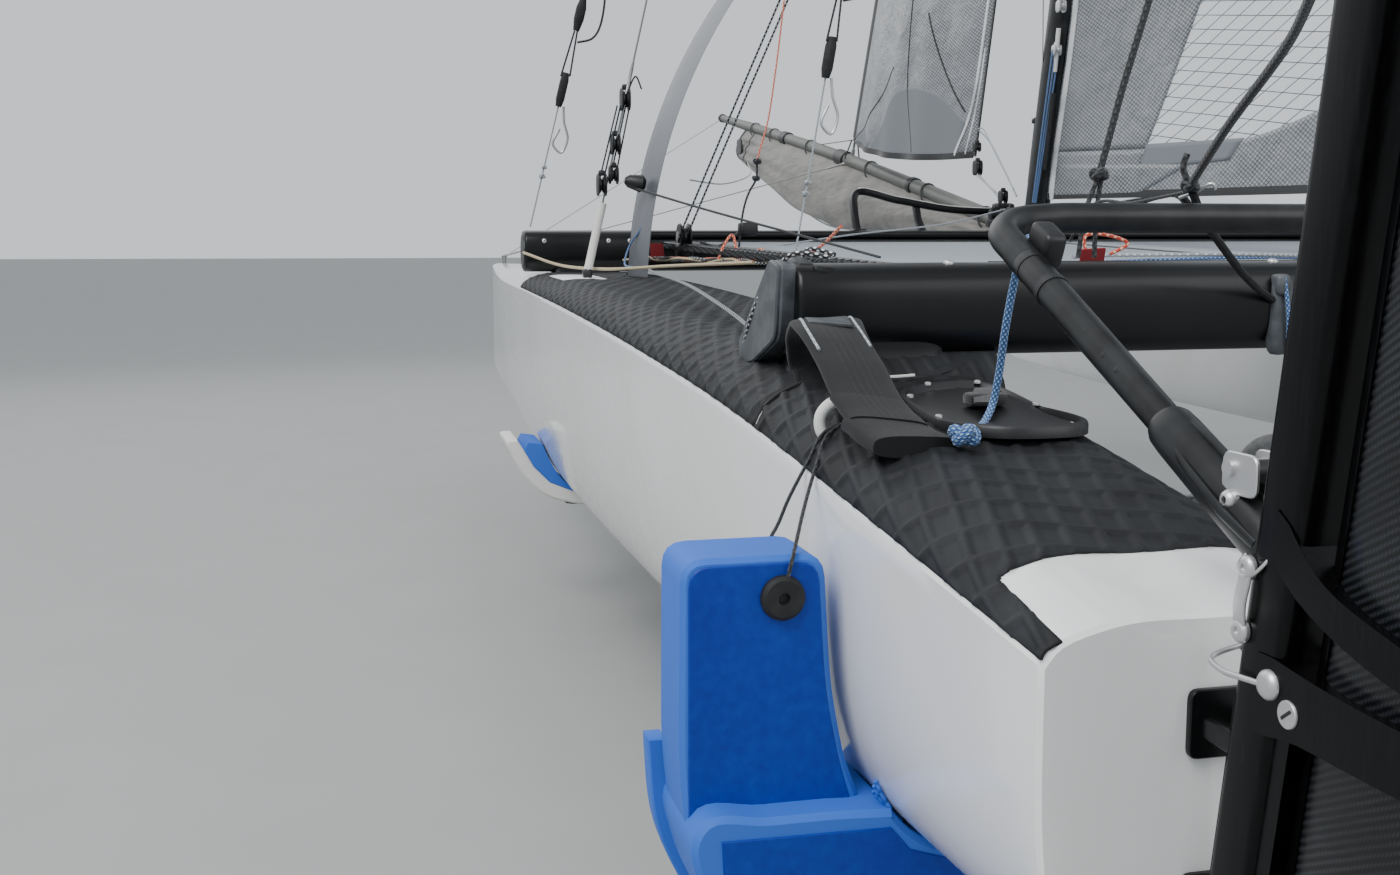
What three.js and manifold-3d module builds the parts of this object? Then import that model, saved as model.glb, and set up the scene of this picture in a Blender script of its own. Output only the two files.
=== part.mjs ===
// Sailing catamaran, rigged, standing on two beach dollies. Millimetres.
// X points forward from the transoms, Y to port, Z up, and Z = 0 is the ground.
// The finished group is then moved so that its origin is the bottom centre of its box.
import * as THREE from "three";
import { mergeVertices } from "three/addons/utils/BufferGeometryUtils.js";
import Module from "manifold-3d";

const wasm = await Module();
wasm.setup();

const rad = THREE.MathUtils.degToRad;
const vec = (x, y, z) => new THREE.Vector3(x, y, z);
const SEAT_GAP = 0.3;

// Hulls
const HULL_Y = 1380;
// The deck edge slopes in from the sheer over this width, but over no more than this share of the half beam.
const DECK = { edge: 53, mostOfHalf: 0.6, shoulderIn: 0.22, shoulderUp: 0.45, crown: 3 };
// Each station: x, half beam, keel z, sheer z, rise of the deck, fullness of the section, and aft lean
// of the ring.
const STATIONS = [
  { x: 0, half: 142, keel: 462, sheer: 720, rise: 30, full: 4.0, lean: 0 },
  { x: 300, half: 153, keel: 440, sheer: 757, rise: 48, full: 3.5, lean: 0 },
  { x: 750, half: 166, keel: 410, sheer: 807, rise: 55, full: 3.0, lean: 0 },
  { x: 1350, half: 178, keel: 376, sheer: 847, rise: 52, full: 2.6, lean: 0 },
  { x: 2050, half: 190, keel: 351, sheer: 880, rise: 46, full: 2.35, lean: 0 },
  { x: 2800, half: 196, keel: 340, sheer: 903, rise: 41, full: 2.25, lean: 0 },
  { x: 3550, half: 184, keel: 344, sheer: 914, rise: 38, full: 2.2, lean: 0 },
  { x: 4250, half: 146, keel: 356, sheer: 922, rise: 34, full: 2.15, lean: 0 },
  { x: 4900, half: 100, keel: 374, sheer: 928, rise: 28, full: 2.1, lean: 0.02 },
  { x: 5500, half: 58, keel: 400, sheer: 934, rise: 20, full: 2.05, lean: 0.08 },
  { x: 5950, half: 28, keel: 428, sheer: 940, rise: 12, full: 2.0, lean: 0.22 },
  { x: 6150, half: 11, keel: 448, sheer: 944, rise: 6, full: 2.0, lean: 0.36 },
];
const SIDE_STEPS = 7;

// Beams
const FRONT_BEAM = { x: 3096, top: 1067, width: 110, depth: 115, end: 1553 };
const REAR_BEAM = { x: 764, top: 995, width: 104, depth: 114, end: 1480 };
const BEAM_SIDES = 16;
const BEAM_ROUNDNESS = 0.7;
const SADDLE = { length: 118, half: 92, depth: 210, neck: 0.36, bury: 0.7 };
const TRAMPOLINE = { half: 1165, thick: 6, rear: 966, front: 1032 };

// Curved daggerboards, sliding on an arc about an axis along X
const BOARD_ARC = { y: 33, z: 892, radius: 1284, low: -22, high: 43, step: 2.5 };
const BOARD_SECTION = { rear: 2500, chord: 240, thick: 24 };
const TRUNK = { low: -42, high: 20.5, radial: 1.0, chord: 2.5 };

// Rudders: a raked pivot just aft of each transom
const RAKE = rad(8);
const RUDDER_FOOT = vec(-55, HULL_Y, 620);
const BLADE = { front: -94, chord: 200, thick: 22, low: 425, high: 1520 };
const BLADE_CLEARANCE = 0.7;
const SPINE = { front: 20, rear: -26, half: 22, low: 478, high: 1300, journalInset: 10 };
const CASING_HALF = 23;
// Casing and its window, columns: x before the rake is added, height.
const CASING_OUTLINE = [[-64, 700], [-64, 832], [-308, 770], [-308, 692]];
const CASING_WINDOW = [[-108, 792], [-108, 746], [-282, 734], [-282, 748]];
const JOURNAL = { radius: 14, clearance: 0.9, sides: 20 };
const RINGS = { heights: [530, 670], radius: 24, thick: 16, clear: 13, armHalf: 15, armShort: 1 };
const TRANSOM_PLATE = { thick: 6, half: 30, margin: 30 };
// Larger than anything it cuts through.
const CUT = 60;

// Tiller arm: a straight tube up from the rudder head to the pin that the crossbar turns on.
// The pin stands straight ahead of the rudder axis, so that both rudders and the crossbar
// move as a parallelogram. Socket: from and to, along the arm.
const TILLER = { root: vec(-70, HULL_Y, 804), pivot: vec(325, HULL_Y, 997), radius: 13, sides: 12, gap: 21 };
const SOCKET = { from: 6, to: 168, radius: 18 };
const TONGUE = { half: 11, thick: 8, reach: 30, pin: 4, pinHalf: 13 };
const FORK = { half: 12, tall: 13, reach: 32, slot: 10, slotReach: 15, bore: 4.9 };
const CROSSBAR = { x: 425, z: 1042, straight: 1258 };
// The bend tube starts this far past the fork, and has this many steps.
const BEND = { start: 3, steps: 10 };
const PIN_SIDES = 16;
// The bend at each end of the crossbar, columns: x, y, z.
const CROSSBAR_BEND = [[385, 1377, 1025], [411, 1355, 1036], [423, 1312, 1041], [425, 1250, 1042]];

// Rig
const MAST_FOOT = vec(3096, 0, 1100);
const MAST_RAKE = rad(12);
const MAST = { foot: 14, length: 8950, fore: 52, width: 32, sides: 12 };
const MAST_BALL = { low: -2, high: 30, radius: 18, clearance: 1.4, sink: 0.4, sides: 12 };
const MAST_STEP = { half: 45, sink: 20, gap: 3 };
// Columns: up the mast, aft, out to the side.
const SPREADER = { root: [3600, -10, 20], tip: [3560, -40, 420], radius: 9 };
const HOUNDS = 6650;
// The luff runs in the mast groove, where the sail turns.
const LUFF_AFT = MAST.fore + 0.8;
const MAIN = { tackUp: 70, headUp: 8750, head: 950, roach: 300, swell: 0.85, camber: 0.045, thick: 5 };
const MAIN_CLEW = vec(1010, 0, 1112);
const JIB = { luff: 6150, tackUp: 70, gap: 5, head: 55, camber: 0.07, drop: 0.028, thick: 5 };
const JIB_CLEW = vec(3545, 0, 1316);
const SAIL_GRID = { across: 6, up: 8 };
const WIRE = 4;
const STAY_END = { radius: 10, length: 60, sink: 2 };
const FORESTAY_FOOT = vec(4800, 0, 1395);
const FORESTAY_TOP = { aft: -74 };
const SHROUD_TOP = { aft: -66, side: 12 };
const CHAINPLATE = { at: vec(2620, 1448, 922), half: 20, thick: 5, down: 70, up: 45, stayUp: 20 };
const BOW_EYE = { at: vec(5560, HULL_Y, 968), radius: 9, half: 24, stayUp: 12 };
const BRIDLE_FOOT = { aft: 10, out: 5, down: 30 };

// Spinnaker pole and the sock that hangs under it
const POLE = { root: vec(3158, 0, 1062), mid: vec(4885, 0, 1392), tip: vec(7036, 0, 1752), radius: 27 };
const POLE_BRACKET = { rear: 47, front: 60, half: 36, low: 1018, high: 1096 };
const SOCK_SIDES = 12;
// The sock narrows towards its top, where it hangs this far inside the pole's line.
const SOCK_FORM = { wide: 0.72, taper: 0.28, hang: 4 };
// Sock rings, columns: x, half width, lowest z.
const SOCK = [
  { x: 3240, half: 34, low: 1022 },
  { x: 3700, half: 60, low: 1056 },
  { x: 4300, half: 84, low: 1086 },
  { x: 5000, half: 104, low: 1112 },
  { x: 5450, half: 112, low: 1196 },
  { x: 5950, half: 104, low: 1330 },
  { x: 6440, half: 88, low: 1470 },
];

// Jib track, half of its arch, columns: x, y, z.
const TRACK = { radius: 11, steps: 36, sides: 8 };
const TRACK_HALF = [
  [3120, 560, 1050],
  [3150, 562, 1120],
  [3196, 545, 1176],
  [3214, 400, 1158],
  [3222, 230, 1132],
];
const TRACK_MIDDLE = vec(3226, 0, 1126);

// Beach dollies
const TYRE = { radius: 210, width: 190, rim: 92 };
const TYRE_SIDES = 12;
const AXLE = { radius: 25, sides: 24, cradleGap: 0.6, hubGap: 0.8 };
const WHEEL_Y = 900;
const WHEEL_SEGMENTS = 24;
// Hub: how far out its rim and its hollow reach, and how wide the parts are.
const HUB = { end: 78, collar: 44, web: 46, lip: 86, hollow: 78, hollowHalf: 40, rimHalf: 66 };
const RIM = { groove: 4, flange: 8, grooveHalf: 30, seat: 0.4, seatInner: 60 };
const FRONT_DOLLY = { x: 3080, axleHalf: 1225, rear: 110, front: 110 };
const REAR_DOLLY = { x: 450, axleHalf: 1500, rear: 70, front: 60 };
// Cradles, half of each outline, columns: distance from the hull's middle, height.
const REAR_CRADLE = [
  [80, 168], [170, 250], [284, 360], [310, 420], [318, 500],
  [308, 700], [268, 742], [196, 744], [172, 700],
];
const FRONT_CRADLE = [[60, 318], [130, 338], [190, 392], [226, 452], [232, 486], [150, 488]];
// A bar under the front shell reaches inboard to a clamp on the axle.
const FRONT_BAR = { half: 50, inner: 1135, outer: HULL_Y + 76, low: 296, high: 322 };
const FRONT_CLAMP = { half: 45, inner: 1135, outer: 1205, low: 168, high: 300 };

const FINISH = {
  gelcoat: ["#e6e8ea", 0.18, 0.0],
  black_aluminium: ["#1b1c1e", 0.42, 0.6],
  black_mesh: ["#8b9097", 0.75, 0.0],
  stainless: ["#b9bcbf", 0.28, 1.0],
  carbon: ["#17191b", 0.3, 0.1],
  grey_board: ["#62666b", 0.4, 0.0],
  laminate: ["#b9bec3", 0.45, 0.0],
  wire: ["#85898d", 0.4, 0.9],
  pole_grey: ["#c3c6c6", 0.35, 0.1],
  grey_cloth: ["#7e858d", 0.8, 0.0],
  blue_plastic: ["#1f5fc4", 0.5, 0.0],
  white_plastic: ["#dcdcd6", 0.5, 0.0],
  galvanised: ["#9a9ea1", 0.5, 0.8],
  tyre_rubber: ["#3a3b3c", 0.85, 0.0],
  hub_plastic: ["#d8d9d6", 0.5, 0.0],
};

const boat = new THREE.Group();

// A geometry becomes a closed solid: shared corners merged, faces pointing out.
function solid(geometry) {
  const plain = geometry.clone();
  for (const name of Object.keys(plain.attributes)) {
    if (name !== "position") plain.deleteAttribute(name);
  }
  const merged = mergeVertices(plain, 1e-3);
  const points = merged.attributes.position.array;
  const index = merged.index.array;
  const corners = [];
  let volume = 0;
  const [a, b, c] = [vec(0, 0, 0), vec(0, 0, 0), vec(0, 0, 0)];
  for (let i = 0; i < index.length; i += 3) {
    const [p, q, r] = [index[i], index[i + 1], index[i + 2]];
    if (p === q || q === r || r === p) continue;
    corners.push(p, q, r);
    a.fromArray(points, 3 * p);
    b.fromArray(points, 3 * q);
    c.fromArray(points, 3 * r);
    volume += a.dot(b.cross(c));
  }
  if (volume < 0) corners.reverse();
  return new wasm.Manifold(
    new wasm.Mesh({
      numProp: 3,
      vertProperties: new Float32Array(points),
      triVerts: new Uint32Array(corners),
    }),
  );
}

function geometryOf(manifold) {
  const mesh = manifold.getMesh();
  const geometry = new THREE.BufferGeometry();
  geometry.setAttribute("position", new THREE.BufferAttribute(new Float32Array(mesh.vertProperties), 3));
  geometry.setIndex(Array.from(mesh.triVerts));
  return geometry;
}

function add(name, shape, finish) {
  const [color, roughness, metalness] = FINISH[finish];
  const geometry = geometryOf(shape);
  geometry.computeVertexNormals();
  const mesh = new THREE.Mesh(geometry, new THREE.MeshStandardMaterial({ color, roughness, metalness }));
  mesh.name = name;
  boat.add(mesh);
}

function toStarboard(shape) {
  const geometry = geometryOf(shape);
  geometry.scale(1, -1, 1);
  return solid(geometry);
}

// The port piece as given, and its mirror image on the starboard side.
function addPair(name, shape, finish) {
  add(`port_${name}`, shape, finish);
  add(`starboard_${name}`, toStarboard(shape), finish);
}

function union(...shapes) {
  return shapes.reduce((sum, shape) => sum.add(shape));
}

// A skin over rings of equal point count, closed by a fan at each end.
function loft(rings) {
  const positions = [];
  const index = [];
  const count = rings[0].length;
  for (const ring of rings) for (const point of ring) positions.push(point.x, point.y, point.z);
  for (let r = 0; r < rings.length - 1; r += 1) {
    for (let i = 0; i < count; i += 1) {
      const j = (i + 1) % count;
      const [a, b] = [r * count + i, r * count + j];
      index.push(a, b, b + count, a, b + count, a + count);
    }
  }
  for (const [r, flip] of [[0, true], [rings.length - 1, false]]) {
    const centre = vec(0, 0, 0);
    for (const point of rings[r]) centre.addScaledVector(point, 1 / count);
    const hub = positions.length / 3;
    positions.push(centre.x, centre.y, centre.z);
    for (let i = 0; i < count; i += 1) {
      const [a, b] = [r * count + i, r * count + ((i + 1) % count)];
      index.push(hub, flip ? b : a, flip ? a : b);
    }
  }
  const geometry = new THREE.BufferGeometry();
  geometry.setAttribute("position", new THREE.BufferAttribute(new Float32Array(positions), 3));
  geometry.setIndex(index);
  return solid(geometry);
}

function disc(radius, sides) {
  const shape = new THREE.Shape();
  for (let i = 0; i < sides; i += 1) {
    const angle = (2 * Math.PI * i) / sides;
    shape.lineTo(radius * Math.cos(angle), radius * Math.sin(angle));
  }
  shape.closePath();
  return shape;
}

// A tube of round section along a smooth curve.
function tube(points, radius, sides, steps) {
  const curve = new THREE.CatmullRomCurve3(points, false, "centripetal");
  const geometry = new THREE.ExtrudeGeometry(disc(radius, sides), { steps, extrudePath: curve });
  return solid(geometry);
}

function rod(start, end, radius, sides = 8) {
  const geometry = new THREE.CylinderGeometry(radius, radius, start.distanceTo(end), sides);
  const along = end.clone().sub(start).normalize();
  geometry.applyQuaternion(new THREE.Quaternion().setFromUnitVectors(vec(0, 1, 0), along));
  const middle = start.clone().add(end).multiplyScalar(0.5);
  geometry.translate(middle.x, middle.y, middle.z);
  return solid(geometry);
}

function block(low, high) {
  const size = high.clone().sub(low);
  const geometry = new THREE.BoxGeometry(size.x, size.y, size.z);
  const middle = low.clone().add(high).multiplyScalar(0.5);
  geometry.translate(middle.x, middle.y, middle.z);
  return solid(geometry);
}

// An outline in the Y-Z plane, carried along X.
function plateX(outline, fromX, toX) {
  const shape = new THREE.Shape(outline.map(([y, z]) => new THREE.Vector2(y, z)));
  const geometry = new THREE.ExtrudeGeometry(shape, { depth: toX - fromX, bevelEnabled: false });
  geometry.applyMatrix4(new THREE.Matrix4().set(0, 0, 1, fromX, 1, 0, 0, 0, 0, 1, 0, 0, 0, 0, 0, 1));
  return solid(geometry);
}

// An outline in the X-Z plane, carried along Y.
function plateY(outline, fromY, toY) {
  const shape = new THREE.Shape(outline.map(([x, z]) => new THREE.Vector2(x, z)));
  const geometry = new THREE.ExtrudeGeometry(shape, { depth: toY - fromY, bevelEnabled: false });
  geometry.applyMatrix4(new THREE.Matrix4().set(1, 0, 0, 0, 0, 0, 1, fromY, 0, 1, 0, 0, 0, 0, 0, 1));
  return solid(geometry);
}

// A closed profile of radius and height turned about Y, then moved to a centre.
function turned(profile, centre) {
  const points = profile.map(([radius, height]) => new THREE.Vector2(radius, height));
  const geometry = new THREE.LatheGeometry(points, WHEEL_SEGMENTS);
  geometry.translate(centre.x, centre.y, centre.z);
  return solid(geometry);
}

function tiltedAbout(shape, pivot, angle) {
  const geometry = geometryOf(shape);
  geometry.translate(-pivot.x, -pivot.y, -pivot.z);
  geometry.rotateY(angle);
  geometry.translate(pivot.x, pivot.y, pivot.z);
  return solid(geometry);
}

// One section: a superellipse from keel to sheer, then a sloping deck edge and a flat crown.
function hullRing(station, grow) {
  const { x, half, keel, sheer, rise, full, lean } = station;
  const side = [];
  for (let i = 0; i <= SIDE_STEPS; i += 1) {
    const angle = (Math.PI / 2) * (i / SIDE_STEPS);
    const out = half * Math.sin(angle) ** (2 / full);
    const up = sheer - (sheer - keel) * Math.cos(angle) ** (2 / full);
    side.push([out + grow, i === 0 ? up - grow : up - grow * Math.cos(angle)]);
  }
  side[0][0] = 0;
  const edge = Math.min(DECK.edge, DECK.mostOfHalf * half);
  side.push([half - DECK.shoulderIn * edge + grow, sheer + DECK.shoulderUp * rise + grow]);
  side.push([half - edge, sheer + rise - DECK.crown + grow]);
  side.push([0, sheer + rise + grow]);
  const ring = side.map(([y, z]) => vec(x - lean * (z - keel), HULL_Y + y, z));
  for (let i = side.length - 2; i > 0; i -= 1) {
    const [y, z] = side[i];
    ring.push(vec(x - lean * (z - keel), HULL_Y - y, z));
  }
  return ring;
}

function hullBody(grow) {
  return loft(STATIONS.map((station) => hullRing(station, grow)));
}

// An arc of the board about its axis: an outline of chord position and thickness, swept by angle.
function boardArc(low, high, radial, chordGap) {
  const rear = BOARD_SECTION.rear - chordGap;
  const chord = BOARD_SECTION.chord + 2 * chordGap;
  // Columns: share of the chord from the trailing edge, share of the half thickness.
  const foil = [[0, 0.2], [0.3, 0.8], [0.65, 1], [0.9, 0.8], [1, 0.3]];
  const steps = Math.round((high - low) / BOARD_ARC.step);
  const rings = [];
  for (let i = 0; i <= steps; i += 1) {
    const angle = rad(low + i * BOARD_ARC.step);
    const point = ([along, thick], side) => {
      const radius = BOARD_ARC.radius + side * ((thick * BOARD_SECTION.thick) / 2 + radial);
      const [y, z] = [radius * Math.cos(angle), radius * Math.sin(angle)];
      return vec(rear + along * chord, BOARD_ARC.y + y, BOARD_ARC.z + z);
    };
    const outer = foil.map((row) => point(row, 1));
    const inner = foil.map((row) => point(row, -1)).reverse();
    rings.push([...outer, ...inner]);
  }
  return loft(rings);
}

// Hulls with the curved slot that the daggerboard slides through
const trunk = boardArc(TRUNK.low, TRUNK.high, TRUNK.radial, TRUNK.chord);
const hullGrown = hullBody(SEAT_GAP);
const hullSolid = hullBody(0).subtract(trunk);
addPair("hull", hullSolid, "gelcoat");
const bothHulls = union(hullGrown, toStarboard(hullGrown));

addPair("daggerboard", boardArc(BOARD_ARC.low, BOARD_ARC.high, 0, 0), "grey_board");

// Cross beams: a rounded section across the boat, with a saddle shaped to each deck
function beamSection(beam, grow) {
  const outline = [];
  const round = (value) => Math.sign(value) * Math.abs(value) ** BEAM_ROUNDNESS;
  for (let i = 0; i < BEAM_SIDES; i += 1) {
    const angle = (2 * Math.PI * (i + 0.5)) / BEAM_SIDES;
    const x = beam.x + (beam.width / 2 + grow) * round(Math.cos(angle));
    const z = beam.top - beam.depth / 2 + (beam.depth / 2 + grow) * round(Math.sin(angle));
    outline.push([x, z]);
  }
  return outline;
}

function beamTube(beam, grow) {
  return plateY(beamSection(beam, grow), -beam.end - grow, beam.end + grow);
}

function saddle(beam, side) {
  const middle = side * HULL_Y;
  const low = beam.top - SADDLE.depth;
  const halfX = SADDLE.length / 2;
  const neck = SADDLE.neck * beam.width;
  const high = beam.top - SADDLE.bury * beam.depth;
  const outline = [
    [beam.x - halfX, low],
    [beam.x + halfX, low],
    [beam.x + neck, high],
    [beam.x - neck, high],
  ];
  return plateY(outline, middle - SADDLE.half, middle + SADDLE.half);
}

// Slivers that a cut leaves beside the real piece are dropped.
function largest(shape) {
  return shape.decompose().reduce((best, piece) => (piece.volume() > best.volume() ? piece : best));
}

function crossBeam(beam) {
  const whole = union(beamTube(beam, 0), saddle(beam, 1), saddle(beam, -1));
  return largest(whole.subtract(bothHulls));
}

add("rear_beam", crossBeam(REAR_BEAM), "black_aluminium");
add("front_beam", crossBeam(FRONT_BEAM), "black_aluminium");

// Trampoline, laced between the beams
const tramp = TRAMPOLINE;
const trampolineSlab = plateY(
  [
    [REAR_BEAM.x, tramp.rear],
    [FRONT_BEAM.x, tramp.front],
    [FRONT_BEAM.x, tramp.front + tramp.thick],
    [REAR_BEAM.x, tramp.rear + tramp.thick],
  ],
  -tramp.half,
  tramp.half,
);
const beamsGrown = union(beamTube(REAR_BEAM, SEAT_GAP), beamTube(FRONT_BEAM, SEAT_GAP));
add("trampoline", trampolineSlab.subtract(beamsGrown), "black_mesh");

// Rudder pivot line, raked aft
function onRudderAxis(z) {
  const up = z - RUDDER_FOOT.z;
  return vec(RUDDER_FOOT.x - up * Math.tan(RAKE), RUDDER_FOOT.y, z);
}

// Transom fitting: a plate with two rings that the rudder stock turns in
const [ringLow, ringHigh] = RINGS.heights;
const plateLow = vec(-TRANSOM_PLATE.thick, HULL_Y - TRANSOM_PLATE.half, ringLow - TRANSOM_PLATE.margin);
const plateHigh = vec(-SEAT_GAP, HULL_Y + TRANSOM_PLATE.half, ringHigh + TRANSOM_PLATE.margin);
const rings = RINGS.heights.map((z) => {
  const centre = onRudderAxis(z);
  const up = vec(0, 0, RINGS.thick / 2);
  const arm = block(
    vec(centre.x, HULL_Y - RINGS.armHalf, z - up.z),
    vec(-RINGS.armShort, HULL_Y + RINGS.armHalf, z + up.z),
  );
  return arm.add(rod(centre.clone().sub(up), centre.clone().add(up), RINGS.radius, JOURNAL.sides));
});
const boreEnds = [onRudderAxis(ringLow - CUT), onRudderAxis(ringHigh + CUT)];
const journalBore = rod(...boreEnds, JOURNAL.radius + JOURNAL.clearance, JOURNAL.sides);
addPair("transom_fitting", union(block(plateLow, plateHigh), ...rings).subtract(journalBore), "stainless");

const rakeShift = (z) => -(z - RUDDER_FOOT.z) * Math.tan(RAKE);

// Rudder blade, raised, in line with the raked pivot
function bladeShape(grow, low, high) {
  // Columns: share of the chord from the leading edge, share of the half thickness.
  const foil = [[0, 0.25], [0.06, 0.7], [0.3, 1], [0.65, 0.7], [1, 0.12]];
  const sections = [low, high].map((z) => {
    const point = ([along, thick], side) => {
      const x = BLADE.front + grow - along * (BLADE.chord + 2 * grow) + rakeShift(z);
      return vec(x, HULL_Y + side * ((thick * BLADE.thick) / 2 + grow), z);
    };
    return [...foil.map((row) => point(row, 1)), ...foil.map((row) => point(row, -1)).reverse()];
  });
  return loft(sections);
}

addPair("rudder_blade", bladeShape(0, BLADE.low, BLADE.high), "carbon");

// Rudder stock: a raked spine that turns on two journals, the casing that holds the blade
// with its window, and the tiller arm with its socket and tongue
function rakedPlate(outline, half) {
  return plateY(outline.map(([x, z]) => [x + rakeShift(z), z]), HULL_Y - half, HULL_Y + half);
}

function spineShape() {
  const [rear, front] = [RUDDER_FOOT.x + SPINE.rear, RUDDER_FOOT.x + SPINE.front];
  const outline = [[rear, SPINE.low], [front, SPINE.low], [front, SPINE.high], [rear, SPINE.high]];
  let spine = rakedPlate(outline, SPINE.half);
  for (const z of RINGS.heights) {
    const low = vec(-2 * CUT, HULL_Y - CUT, z - RINGS.clear);
    spine = spine.subtract(block(low, vec(0, HULL_Y + CUT, z + RINGS.clear)));
  }
  const ends = [onRudderAxis(SPINE.low + SPINE.journalInset), onRudderAxis(SPINE.high - SPINE.journalInset)];
  return spine.add(rod(...ends, JOURNAL.radius, JOURNAL.sides));
}

const casing = rakedPlate(CASING_OUTLINE, CASING_HALF).subtract(rakedPlate(CASING_WINDOW, CUT));

const armWay = TILLER.pivot.clone().sub(TILLER.root).normalize();
const alongArm = (distance) => TILLER.root.clone().addScaledVector(armWay, distance);
const armLength = TILLER.root.distanceTo(TILLER.pivot);
const arm = rod(TILLER.root, alongArm(armLength - TILLER.gap), TILLER.radius, TILLER.sides);
const socket = rod(alongArm(SOCKET.from), alongArm(SOCKET.to), SOCKET.radius, TILLER.sides);
const fromPivot = (x, y, z) => TILLER.pivot.clone().add(vec(x, y, z));
const pinRod = (half, radius) => rod(fromPivot(0, 0, -half), fromPivot(0, 0, half), radius, PIN_SIDES);
const tonguePlate = block(
  fromPivot(-TONGUE.reach, -TONGUE.half, -TONGUE.thick / 2),
  fromPivot(0, TONGUE.half, TONGUE.thick / 2),
);
const tongue = union(tonguePlate, pinRod(TONGUE.thick / 2, TONGUE.half), pinRod(TONGUE.pinHalf, TONGUE.pin));
const clearBlade = bladeShape(BLADE_CLEARANCE, BLADE.low - CUT, BLADE.high + CUT);
const stock = union(spineShape(), casing, socket, arm, tiltedAbout(tongue, TILLER.pivot, -RAKE));
addPair("rudder_stock", largest(stock.subtract(clearBlade)), "carbon");

// Crossbar between the two tillers, bent aft at each end, where a fork holds the pin
const forkBlock = block(fromPivot(0, -FORK.half, -FORK.tall), fromPivot(FORK.reach, FORK.half, FORK.tall));
const forkSlot = block(fromPivot(-CUT, -CUT, -FORK.slot / 2), fromPivot(FORK.slotReach, CUT, FORK.slot / 2));
const forkSolid = forkBlock.add(pinRod(FORK.tall, FORK.half)).subtract(forkSlot);
const fork = tiltedAbout(forkSolid.subtract(pinRod(CUT, FORK.bore)), TILLER.pivot, -RAKE);
const bendPoints = [
  alongArm(armLength + TILLER.gap + BEND.start),
  ...CROSSBAR_BEND.map(([x, y, z]) => vec(x, y, z)),
];
const bend = tube(bendPoints, TILLER.radius, TILLER.sides, BEND.steps);
const barEnds = [-1, 1].map((side) => vec(CROSSBAR.x, side * CROSSBAR.straight, CROSSBAR.z));
const bar = rod(...barEnds, TILLER.radius, TILLER.sides);
const bentEnd = fork.add(bend);
add("tiller_crossbar", union(bar, bentEnd, toStarboard(bentEnd)), "black_aluminium");

// Mast with its spreaders, and the ball foot it turns on
const mastUp = vec(-Math.sin(MAST_RAKE), 0, Math.cos(MAST_RAKE));
const mastAft = vec(-Math.cos(MAST_RAKE), 0, -Math.sin(MAST_RAKE));
const onMast = (up, aft = 0, side = 0) =>
  MAST_FOOT.clone().addScaledVector(mastUp, up).addScaledVector(mastAft, aft).add(vec(0, side, 0));

function mastTube() {
  const sections = [MAST.foot, MAST.length].map((up) => {
    const ring = [];
    for (let i = 0; i < MAST.sides; i += 1) {
      const angle = (2 * Math.PI * i) / MAST.sides;
      ring.push(onMast(up, MAST.fore * Math.cos(angle), MAST.width * Math.sin(angle)));
    }
    return ring;
  });
  return loft(sections);
}

const spreader = rod(onMast(...SPREADER.root), onMast(...SPREADER.tip), SPREADER.radius);
const mastBall = rod(onMast(MAST_BALL.low), onMast(MAST_BALL.high), MAST_BALL.radius, MAST_BALL.sides);
add("mast", union(mastTube(), spreader, toStarboard(spreader), mastBall), "carbon");

const stepLow = vec(MAST_FOOT.x - MAST_STEP.half, -MAST_STEP.half, FRONT_BEAM.top - MAST_STEP.sink);
const stepHigh = vec(MAST_FOOT.x + MAST_STEP.half, MAST_STEP.half, MAST_FOOT.z - MAST_STEP.gap);
const ballBore = rod(
  onMast(MAST_BALL.low - MAST_BALL.sink),
  onMast(MAST_BALL.high + MAST_BALL.sink),
  MAST_BALL.radius + MAST_BALL.clearance,
  MAST_BALL.sides,
);
const stepBlock = block(stepLow, stepHigh).subtract(beamsGrown).subtract(ballBore);
add("mast_step", largest(stepBlock), "black_aluminium");

// A thin closed sheet over a grid of points: two faces, and a narrow strip along each edge.
function sheet(pointAt, thick) {
  const { across, up } = SAIL_GRID;
  const positions = [];
  const index = [];
  for (const half of [thick / 2, -thick / 2]) {
    for (let j = 0; j <= up; j += 1) {
      for (let i = 0; i <= across; i += 1) {
        const point = pointAt(i / across, j / up);
        positions.push(point.x, point.y + half, point.z);
      }
    }
  }
  const at = (i, j) => j * (across + 1) + i;
  const back = (across + 1) * (up + 1);
  const quad = (a, b, c, d) => index.push(a, b, c, a, c, d);
  const rim = (a, b) => quad(b, a, a + back, b + back);
  for (let j = 0; j < up; j += 1) {
    for (let i = 0; i < across; i += 1) {
      const [a, b, c, d] = [at(i, j), at(i + 1, j), at(i + 1, j + 1), at(i, j + 1)];
      quad(a, b, c, d);
      quad(a + back, d + back, c + back, b + back);
    }
    rim(at(across, j), at(across, j + 1));
    rim(at(0, j + 1), at(0, j));
  }
  for (let i = 0; i < across; i += 1) {
    rim(at(i, 0), at(i + 1, 0));
    rim(at(i + 1, up), at(i, up));
  }
  const geometry = new THREE.BufferGeometry();
  geometry.setAttribute("position", new THREE.BufferAttribute(new Float32Array(positions), 3));
  geometry.setIndex(index);
  return solid(geometry);
}

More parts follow.
